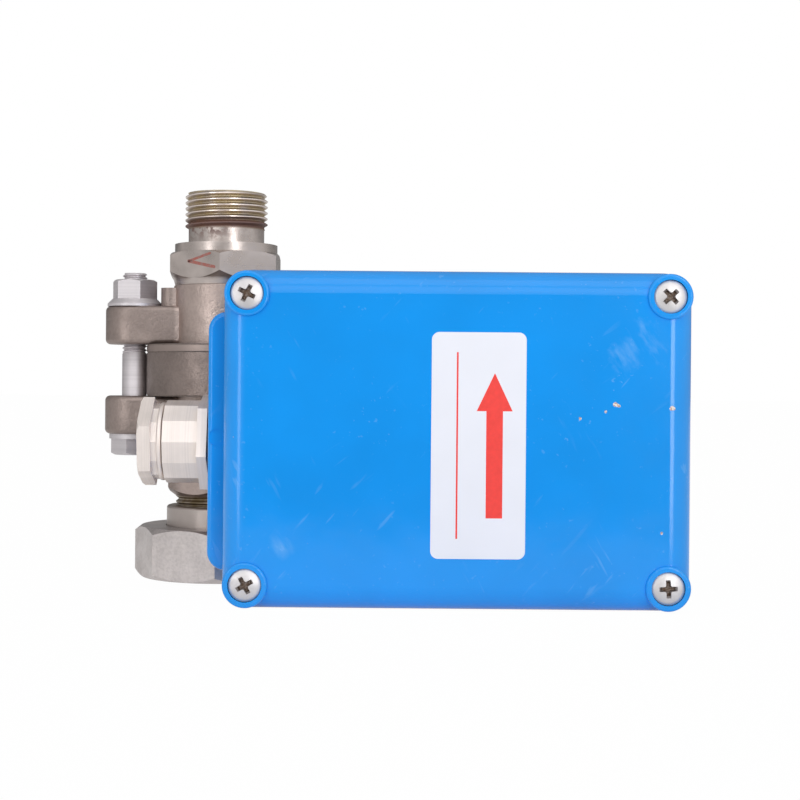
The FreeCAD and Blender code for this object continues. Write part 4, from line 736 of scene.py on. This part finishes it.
def cross_cutter(sizes):
    """A tapered cross, points down, for the recess of a screw head at the origin."""
    above = 0.2 * MM
    taper = 0.6
    rounding = 0.45 * MM
    shape = bmesh.new()
    # The grid runs from -1 to 1, with its inner lines at a third
    bmesh.ops.create_grid(shape, x_segments=3, y_segments=3, size=1)
    corners = []
    for face in shape.faces:
        middle = face.calc_center_median()
        if min(abs(middle.x), abs(middle.y)) > 0.5:
            corners.append(face)
    bmesh.ops.delete(shape, geom=corners, context="FACES")
    for vert in shape.verts:
        for axis in (0, 1):
            reach = sizes.recess_span if abs(vert.co[axis]) > 0.5 else sizes.recess_width
            vert.co[axis] = math.copysign(reach / 2, vert.co[axis])
        vert.co.z = above
    bottom = sweep(shape, -above - sizes.recess_depth)
    bmesh.ops.scale(shape, verts=bottom, vec=(taper, taper, 1))
    inner = []
    for edge in shape.edges:
        ends = [vert.co for vert in edge.verts]
        upright = abs(ends[0].z - ends[1].z) > MM
        reach = max(abs(end[axis]) for end in ends for axis in (0, 1))
        if upright and reach < sizes.recess_width:
            inner.append(edge)
    bmesh.ops.bevel(shape, geom=inner, offset=rounding, offset_type="OFFSET", affect="EDGES", segments=3,
                    profile=0.5, material=-1)
    bmesh.ops.recalc_face_normals(shape, faces=shape.faces)
    return shape


def cut_away(shape, cutter):
    """The shape less the cutter."""
    objects = [add_object("cutting", mesh_of(source, "cutting")) for source in (shape, cutter)]
    modifier = objects[0].modifiers.new("recess", "BOOLEAN")
    modifier.object = objects[1]
    modifier.operation = "DIFFERENCE"
    modifier.solver = "EXACT"
    bpy.context.view_layer.update()
    less = bpy.data.meshes.new_from_object(objects[0].evaluated_get(bpy.context.evaluated_depsgraph_get()))
    result = bmesh.new()
    result.from_mesh(less)
    spent = [less, *[item.data for item in objects]]
    for item in objects:
        bpy.data.objects.remove(item)
    for mesh in spent:
        bpy.data.meshes.remove(mesh)
    return result


def islands(shape):
    """The lowest and highest corner of each separate part of a mesh, from left to right."""
    found = []
    left = set(shape.verts)
    while left:
        group = [left.pop()]
        for vert in group:
            for edge in vert.link_edges:
                other = edge.other_vert(vert)
                if other in left:
                    left.remove(other)
                    group.append(other)
        ends = [[pick(vert.co[axis] for vert in group) for axis in range(3)] for pick in (min, max)]
        found.append((Vector(ends[0]), Vector(ends[1])))
    return sorted(found, key=lambda ends: (round(ends[0].x, 5), ends[0].z))


def slotted(node, sizes):
    """A copy of the node's screws, with a slot in each head that faces the cover."""
    shape = copy_of(node)
    for index, (low, high) in enumerate(islands(shape)):
        middle = (low + high) / 2
        cutter = bmesh.new()
        bmesh.ops.create_cube(cutter, size=1)
        span = 1.2 * (high.x - low.x)
        bmesh.ops.scale(cutter, verts=cutter.verts, vec=(span, sizes.slot_width, 2 * sizes.slot_depth))
        # Each slot stands at another angle
        degrees = 25 + 40 * index
        move(cutter, facing_front((middle.x, low.y, middle.z), degrees))
        shape = cut_away(shape, cutter)
    return shape


# Pieces

class FLOW_OT_box(bpy.types.Operator):
    """Enamel on the box, its cover and the chamber behind it"""
    bl_idname = "flow.box"
    bl_label = "Box"

    def execute(self, context):
        face = corner("cover_screws", 0).y + context.scene.flow_sizes.face_depth
        paint(enamel(context.scene.flow_finishes, face), "enclosure_base", "cover", "rear_housing")
        return {"FINISHED"}


class FLOW_OT_line(bpy.types.Operator):
    """Cast and turned steel of the flow line, with its union nut and flat gaskets"""
    bl_idname = "flow.line"
    bl_label = "Flow line"

    def execute(self, context):
        sizes = context.scene.flow_sizes
        finish = context.scene.flow_finishes
        paint(cast_metal("cast_steel", finish.cast, neck=sizes.lit_neck_radius), "lower_cap", "upper_cap")
        # Painted shade: the metering body gets a darker copy of the cast steel for the shadow it lies in
        # behind the ears and the box
        paint(cast_metal("body_steel_painted_shade", shade(finish.cast, 0.8)), "metering_body")
        paint(turned_metal("plate_steel", shade(finish.cast, 1.1), gloss=(0.4, 0.55)), "orifice_plate")
        paint(cast_metal("nut_steel", finish.nut, 900.0, 0.00012), "union_nut")
        self.gaskets(sizes.gasket_radius, fibre(finish))
        return {"FINISHED"}

    def gaskets(self, reach, material):
        """Flat gaskets drawn out to the metering body's edge, so that no light shows through the joints."""
        shape = copy_of("line_gaskets")
        edge = max(radius_of(vert) for vert in shape.verts) - HAIR
        for vert in shape.verts:
            if radius_of(vert) > edge:
                pull_to(vert, reach)
        piece = finish_piece(shape, "line_gaskets_wide", "body", [material])
        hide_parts("line_gaskets")


class FLOW_OT_inlet(bpy.types.Operator):
    """Inlet nipple with the thread that shows below the lower cap"""
    bl_idname = "flow.inlet"
    bl_label = "Inlet nipple"

    def execute(self, context):
        sizes = context.scene.flow_sizes
        crest = sizes.joint_radius
        # This thread shows a little shallower than the outlet's
        depth = 0.8 * sizes.pipe_depth
        root = crest - depth
        high = corner("lower_cap", 0).z
        low = high - sizes.joint_show
        shape = copy_of("lower_nipple")
        for vert in shape.verts:
            if vert.co.z > low - HAIR and root < radius_of(vert) < crest + 0.1 * MM:
                pull_to(vert, root)
        start, end = low + 0.2 * MM, high + 1.5 * MM
        join(shape, thread_ridge(sizes.pipe_pitch, depth, crest, start, end, sizes.steps))
        material = inlet_metal(context.scene.flow_finishes, low)
        piece = finish_piece(shape, "inlet_nipple", "body", [material])
        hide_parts("lower_nipple")
        return {"FINISHED"}


class FLOW_OT_outlet(bpy.types.Operator):
    """Outlet nipple with its pipe thread, and a fitter's tick in red paint on its hexagon"""
    bl_idname = "flow.outlet"
    bl_label = "Outlet nipple"

    def execute(self, context):
        sizes = context.scene.flow_sizes
        finish = context.scene.flow_finishes
        top = corner("upper_nipple", 1).z
        low = top - sizes.pipe_length
        crest = sizes.pipe_radius
        root = crest - sizes.pipe_depth
        chamfer = top - 0.9 * MM
        run_in = 1.3
        shape = copy_of("upper_nipple")
        limit_radius(shape, lambda level: root if level > low - HAIR else math.inf)
        ridge = thread_ridge(sizes.pipe_pitch, sizes.pipe_depth, crest, low, top - HAIR, sizes.steps)
        limit_radius(ridge, lambda level: min(crest, crest - (level - chamfer),
                                              root + run_in * (level - low)))
        join(shape, ridge)
        material = outlet_metal(finish, crest, low, top)
        piece = finish_piece(shape, "outlet_nipple", "body", [material])
        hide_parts("upper_nipple")
        self.tick(top, sizes, worn_paint(finish))
        return {"FINISHED"}

    def tick(self, top, sizes, material):
        """Two brush strokes on the facet that looks to the front left."""
        front_left = math.radians(-30)
        facing = Matrix.Rotation(front_left, 4, "Z") @ facing_front((0, -sizes.facet, top))
        shape = bmesh.new()
        turn = Vector(TICK_CORNER) * MM
        for x, z, thick in TICK_STROKES:
            end = Vector((x, z)) * MM
            width = thick * MM
            along = end - turn
            stroke = film(along.length + width, width, sizes.tick_film, 0.4 * width)
            angle = Matrix.Rotation(math.atan2(along.y, along.x), 4, "Z")
            move(stroke, facing @ Matrix.Translation((*((end + turn) / 2), 0)) @ angle)
            join(shape, stroke)
        finish_piece(shape, "fitters_tick", "body", [material])


class FLOW_OT_ties(bpy.types.Operator):
    """Tie bolts with threaded ends, their washers and flange nuts"""
    bl_idname = "flow.ties"
    bl_label = "Tie bolts"

    def execute(self, context):
        sizes = context.scene.flow_sizes
        zinc = turned_metal("zinc", context.scene.flow_finishes.zinc, gloss=(0.46, 0.6), lines=1400.0)
        paint(zinc, "tie_washers")
        nuts = self.chamfered("tie_nuts", 1, sizes)
        piece = finish_piece(nuts, "tie_nuts_chamfered", "body", [zinc])
        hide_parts("tie_nuts")
        bolts = self.chamfered("tie_bolts", 0, sizes)
        self.thread(bolts, sizes)
        piece = finish_piece(bolts, "tie_bolts_threaded", "body", [zinc])
        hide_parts("tie_bolts")
        return {"FINISHED"}

    def chamfered(self, node, end, sizes):
        """A copy of the node's two solids with a chamfer at their low (0) or high (1) end."""
        shape = copy_of(node)
        for side in (-1, 1):
            cutter = ring_cutter(sizes.nut_crown, sizes.nut_reach, sizes.nut_slope)
            if end == 0:
                move(cutter, Matrix.Rotation(math.pi, 4, "X"))
            move(cutter, Matrix.Translation((side * sizes.bolt_offset, 0, corner(node, end).z)))
            shape = cut_away(shape, cutter)
        return shape

    def thread(self, shape, sizes):
        """Thins the upper ends of the bolts to the root of their thread, and adds its ridges."""
        high = corner("tie_bolts", 1).z
        start = high - sizes.bolt_thread
        fade = start + sizes.bolt_fade
        chamfer = high - 0.5 * MM
        crest = sizes.bolt_radius
        root = crest - sizes.bolt_depth
        for level in (start, fade):
            slice_at(shape, level)
        for vert in shape.verts:
            centre = math.copysign(sizes.bolt_offset, vert.co.x)
            if vert.co.z > fade - 0.01 * MM and radius_of(vert, centre) > root:
                pull_to(vert, root, centre)
        for side in (-1, 1):
            ridge = thread_ridge(sizes.bolt_pitch, sizes.bolt_depth, crest, start, high - HAIR,
                                 sizes.steps // 2)
            limit_radius(ridge, lambda level: min(crest, crest - (level - chamfer)))
            move(ridge, Matrix.Translation((side * sizes.bolt_offset, 0, 0)))
            join(shape, ridge)


class FLOW_OT_screws(bpy.types.Operator):
    """Cover screws with a cross recess in each head"""
    bl_idname = "flow.screws"
    bl_label = "Cover screws"

    def execute(self, context):
        sizes = context.scene.flow_sizes
        low, high = ends_of("cover_screws")
        radius = sizes.head_radius
        shape = bmesh.new()
        for (side, row), turn in SCREW_TURNS.items():
            across = (high.x - radius) if side else (low.x + radius)
            level = (high.z - radius) if row else (low.z + radius)
            head = domed_head(radius, sizes.head_rise, sizes.head_edge, sizes.head_shank)
            head = cut_away(head, cross_cutter(sizes))
            move(head, facing_front((across, low.y, level), turn))
            join(shape, head)
        material = screw_metal(context.scene.flow_finishes, low.y)
        piece = finish_piece(shape, "cover_screws_recessed", "cover", [material])
        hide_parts("cover_screws")
        return {"FINISHED"}


class FLOW_OT_gland(bpy.types.Operator):
    """Plated body and cap of the cable gland"""
    bl_idname = "flow.gland"
    bl_label = "Cable gland"

    def execute(self, context):
        along = (0, math.radians(90), 0)
        nickel = turned_metal("nickel", context.scene.flow_finishes.nickel, along, (0.46, 0.6), 2200.0)
        paint(nickel, "gland_body", "gland_cap")
        return {"FINISHED"}


class FLOW_OT_seals(bpy.types.Operator):
    """Rubber seals, and a diaphragm whose middle moves with the stem"""
    bl_idname = "flow.seals"
    bl_label = "Seals"

    def execute(self, context):
        sizes = context.scene.flow_sizes
        black = rubber(context.scene.flow_finishes)
        paint(black, "union_seal", "cover_gasket", "stem_seal", "gland_washer", "gland_rubber")
        low, high = ends_of("rear_disc")
        front = corner("diaphragm", 0).y
        place = facing_front(((low.x + high.x) / 2, 0, (low.z + high.z) / 2))
        edge = (high.x - low.x) / 2 + sizes.disc_gap
        cutter = hoop(sizes.disc_hole / 2, edge, -high.y - MM, -front + MM)
        move(cutter, place)
        rim = cut_away(copy_of("diaphragm"), cutter)
        piece = finish_piece(rim, "diaphragm_rim", "body", [black])
        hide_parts("diaphragm")
        middle = hoop(sizes.disc_hole, edge - 0.02 * MM, -low.y, -front)
        move(middle, place)
        finish_piece(middle, "diaphragm_middle", "diaphragm_unit", [black])
        return {"FINISHED"}


class FLOW_OT_works(bpy.types.Operator):
    """Metal and mouldings of the discs and stem, the lever works, the switch and the earth screw"""
    bl_idname = "flow.works"
    bl_label = "Works"

    def execute(self, context):
        sizes = context.scene.flow_sizes
        finish = context.scene.flow_finishes
        facing = (math.radians(90), 0, 0)
        zinc = turned_metal("works_zinc", finish.zinc, facing, (0.24, 0.4), 900.0)
        brass = turned_metal("works_brass", finish.brass, facing)
        bright = turned_metal("works_bright", finish.bright, facing)
        paint(zinc, "lever_frame", "clamp_bolts", "switch_screws")
        paint(bright, "front_disc", "rear_disc", "stem", "stem_nut", "lever", "pivot_pin", "setting_screw",
              "pad_screws")
        paint(brass, "stem_bush", "earth_washer")
        self.spring(sizes, bright)
        for node, slot, metal in (("frame_screws", "zinc", zinc), ("switch_terminals", "brass", brass),
                                  ("earth_screw", "brass", brass)):
            piece = finish_piece(slotted(node, sizes), node + "_slotted", "body", [metal])
            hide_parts(node)
        paint(turned_metal("dial_satin", shade(finish.zinc, 1.1), facing, (0.32, 0.45)), "setting_dial")
        paint(moulding("switch_case", finish.moulded, 0.4), "switch_body")
        paint(moulding("knob", shade(finish.moulded, 1.2), 0.5), "setting_knob")
        paint(moulding("plunger", finish.plunger, 0.3), "switch_plunger")
        self.ticks(sizes, finish)
        return {"FINISHED"}

    def spring(self, sizes, metal):
        """A copy of the range spring, with a mesh of its own."""
        piece = finish_piece(copy_of("range_spring"), "range_spring_pressed", "body", [metal])
        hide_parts("range_spring")
        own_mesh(piece)

    def ticks(self, sizes, finish):
        """Ticks on the dial over the turn of the knob, and a pale line on the knob."""
        low, high = ends_of("setting_dial")
        middle = (low + high) / 2
        each_way = 135
        spaces = 10
        shape = bmesh.new()
        for index in range(spaces + 1):
            tall = sizes.dial_long if index % 5 == 0 else sizes.dial_short
            tick = film(sizes.dial_width, tall, sizes.dial_film)
            degrees = each_way * (2 * index / spaces - 1)
            place = facing_front((middle.x, low.y, middle.z), degrees)
            move(tick, place @ Matrix.Translation((0, sizes.dial_radius - tall / 2, 0)))
            join(shape, tick)
        finish_piece(shape, "dial_ticks", "body", [moulding("tick_ink", finish.moulded, 0.45)])
        line = film(sizes.line_width, sizes.line_length, sizes.line_film)
        place = facing_front((middle.x, corner("setting_knob", 0).y + sizes.line_depth, middle.z))
        move(line, place @ Matrix.Translation((0, sizes.line_offset, 0)))
        finish_piece(line, "knob_line", "setting", [moulding("line_paint", finish.label, 0.4)])


class FLOW_OT_label(bpy.types.Operator):
    """Label on the cover, bare but for a flow arrow and a rule"""
    bl_idname = "flow.label"
    bl_label = "Label"

    def execute(self, context):
        sizes = context.scene.flow_sizes
        finish = context.scene.flow_finishes
        face = corner("cover_screws", 0).y + sizes.face_depth
        place = facing_front((sizes.label_x, face, sizes.label_z))
        shape = film(sizes.label_width, sizes.label_height, sizes.label_film, sizes.label_round, segments=8)
        move(shape, place)
        finish_piece(shape, "label", "cover", [vinyl(finish)])
        shape = bmesh.new()
        for outline in (ARROW, RULE):
            shape.faces.new([shape.verts.new((x * MM, y * MM, sizes.label_film)) for x, y in outline])
        raise_film(shape, sizes.print_film)
        move(shape, place)
        finish_piece(shape, "label_print", "cover", [ink(finish)])
        return {"FINISHED"}


class FLOW_OT_stage(bpy.types.Operator):
    """Camera, lamps, room light and floor"""
    bl_idname = "flow.stage"
    bl_label = "Stage"

    def execute(self, context):
        scene = context.scene
        stage = scene.flow_stage
        scene.view_settings.view_transform = "Standard"
        lens = bpy.data.cameras.new("camera")
        lens.sensor_width = 36
        lens.lens = stage.lens
        lens.shift_y = stage.shift
        camera = add_object("camera", lens)
        camera.location = stage.eye
        camera.rotation_euler = (TO_FRONT @ Matrix.Rotation(stage.roll, 4, "Z")).to_euler()
        scene.camera = camera
        self.room(scene, stage)
        self.floor(stage)
        middle = (Vector(CAD_BOX[0]) + Vector(CAD_BOX[1])) / 2
        for name, place, size, share in LAMPS:
            light = bpy.data.lights.new("soft_box_" + name, "AREA")
            light.shape = "RECTANGLE"
            light.size, light.size_y = size
            light.energy = stage.lamp * share * size[0] * size[1]
            lamp = add_object(light.name, light)
            lamp.location = place
            lamp.rotation_euler = (middle - Vector(place)).to_track_quat("-Z", "Y").to_euler()
        return {"FINISHED"}

    def rays(self, tree):
        """The light path's outputs, and 1 for rays from the camera, straight or through clear things."""
        path = put(tree, "LightPath").outputs
        return path, most(tree, path["Is Camera Ray"], path["Is Transmission Ray"])

    def room(self, scene, stage):
        """Even light for surfaces, white for the camera, and for metal that white with dim sides."""
        world = bpy.data.worlds.new("studio")
        tree = empty_tree(world)
        path, clear = self.rays(tree)
        way = put(tree, "TexCoord").outputs["Generated"]
        ahead = put(tree, "VectorMath", {"operation": "DOT_PRODUCT"}, {0: way, 1: CAMERA_SIDE})
        parts = parts_of(tree, way)
        camera_dim = ramp(tree, ahead.outputs["Value"], 0.90, 0.980, 1.0, 0.12)
        back_dim = ramp(tree, parts[1], 0.0, 0.8, 1.0, 0.35)
        left_dim = ramp(tree, parts[0], -1.0, 0.3, 0.7, 1.0)
        mirrored = times(tree, camera_dim, back_dim, left_dim, stage.mirrored)
        light = put(tree, "Mix", None, {0: path["Is Glossy Ray"], 2: stage.room, 3: mirrored}).outputs[0]
        strength = put(tree, "Mix", None, {0: clear, 2: light, 3: 1.0}).outputs[0]
        white = put(tree, "Background", None, {"Color": (1, 1, 1, 1), "Strength": strength})
        put(tree, "OutputWorld", None, {"Surface": white.outputs[0]})
        scene.world = world

    def floor(self, stage):
        """Paper below the part, plain white to the camera, from a little before the part to far behind it."""
        half = 4
        front = -0.32
        shape = bmesh.new()
        bmesh.ops.create_grid(shape, x_segments=1, y_segments=1, size=half)
        move(shape, Matrix.Translation((0, front + half, CAD_BOX[0][2])))
        floor = add_object("floor", mesh_of(shape, "floor"))
        material = bpy.data.materials.new("floor_paper")
        tree = empty_tree(material)
        paper = put(tree, "BsdfDiffuse", None, {"Color": (0.9, 0.9, 0.9, 1)})
        white = put(tree, "Emission", None, {"Color": (1, 1, 1, 1), "Strength": 1.0})
        path, clear = self.rays(tree)
        mirrored = times(tree, path["Is Glossy Ray"], 0.6)
        share = times(tree, most(tree, clear, mirrored), stage.paper)
        mixed = put(tree, "MixShader", None, {0: share, 1: paper.outputs[0], 2: white.outputs[0]})
        put(tree, "OutputMaterial", None, {"Surface": mixed.outputs[0]})
        floor.data.materials.append(material)


STEPS = (FLOW_OT_box, FLOW_OT_line, FLOW_OT_inlet, FLOW_OT_outlet, FLOW_OT_ties, FLOW_OT_screws,
         FLOW_OT_gland, FLOW_OT_seals, FLOW_OT_works, FLOW_OT_label, FLOW_OT_stage)


class FLOW_PT_panel(bpy.types.Panel):
    """Lists the steps that dress the flow monitor"""
    bl_idname = "FLOW_PT_panel"
    bl_label = "Flow monitor"
    bl_space_type = "VIEW_3D"
    bl_region_type = "UI"
    bl_category = "Flow monitor"

    def draw(self, context):
        for step in STEPS:
            self.layout.operator(step.bl_idname)
        for group in (context.scene.flow_sizes, context.scene.flow_finishes, context.scene.flow_stage):
            for name in group.__annotations__:
                self.layout.prop(group, name)


CLASSES = (FlowFinishes, FlowSizes, FlowStage, *STEPS, FLOW_PT_panel)


def register():
    for item in CLASSES:
        bpy.utils.register_class(item)
    bpy.types.Scene.flow_finishes = PointerProperty(type=FlowFinishes)
    bpy.types.Scene.flow_sizes = PointerProperty(type=FlowSizes)
    bpy.types.Scene.flow_stage = PointerProperty(type=FlowStage)


def unregister():
    del bpy.types.Scene.flow_stage
    del bpy.types.Scene.flow_sizes
    del bpy.types.Scene.flow_finishes
    for item in reversed(CLASSES):
        bpy.utils.unregister_class(item)


def main():
    register()
    for step in STEPS:
        group, name = step.bl_idname.split(".")
        getattr(getattr(bpy.ops, group), name)()


if __name__ == "__main__":
    main()
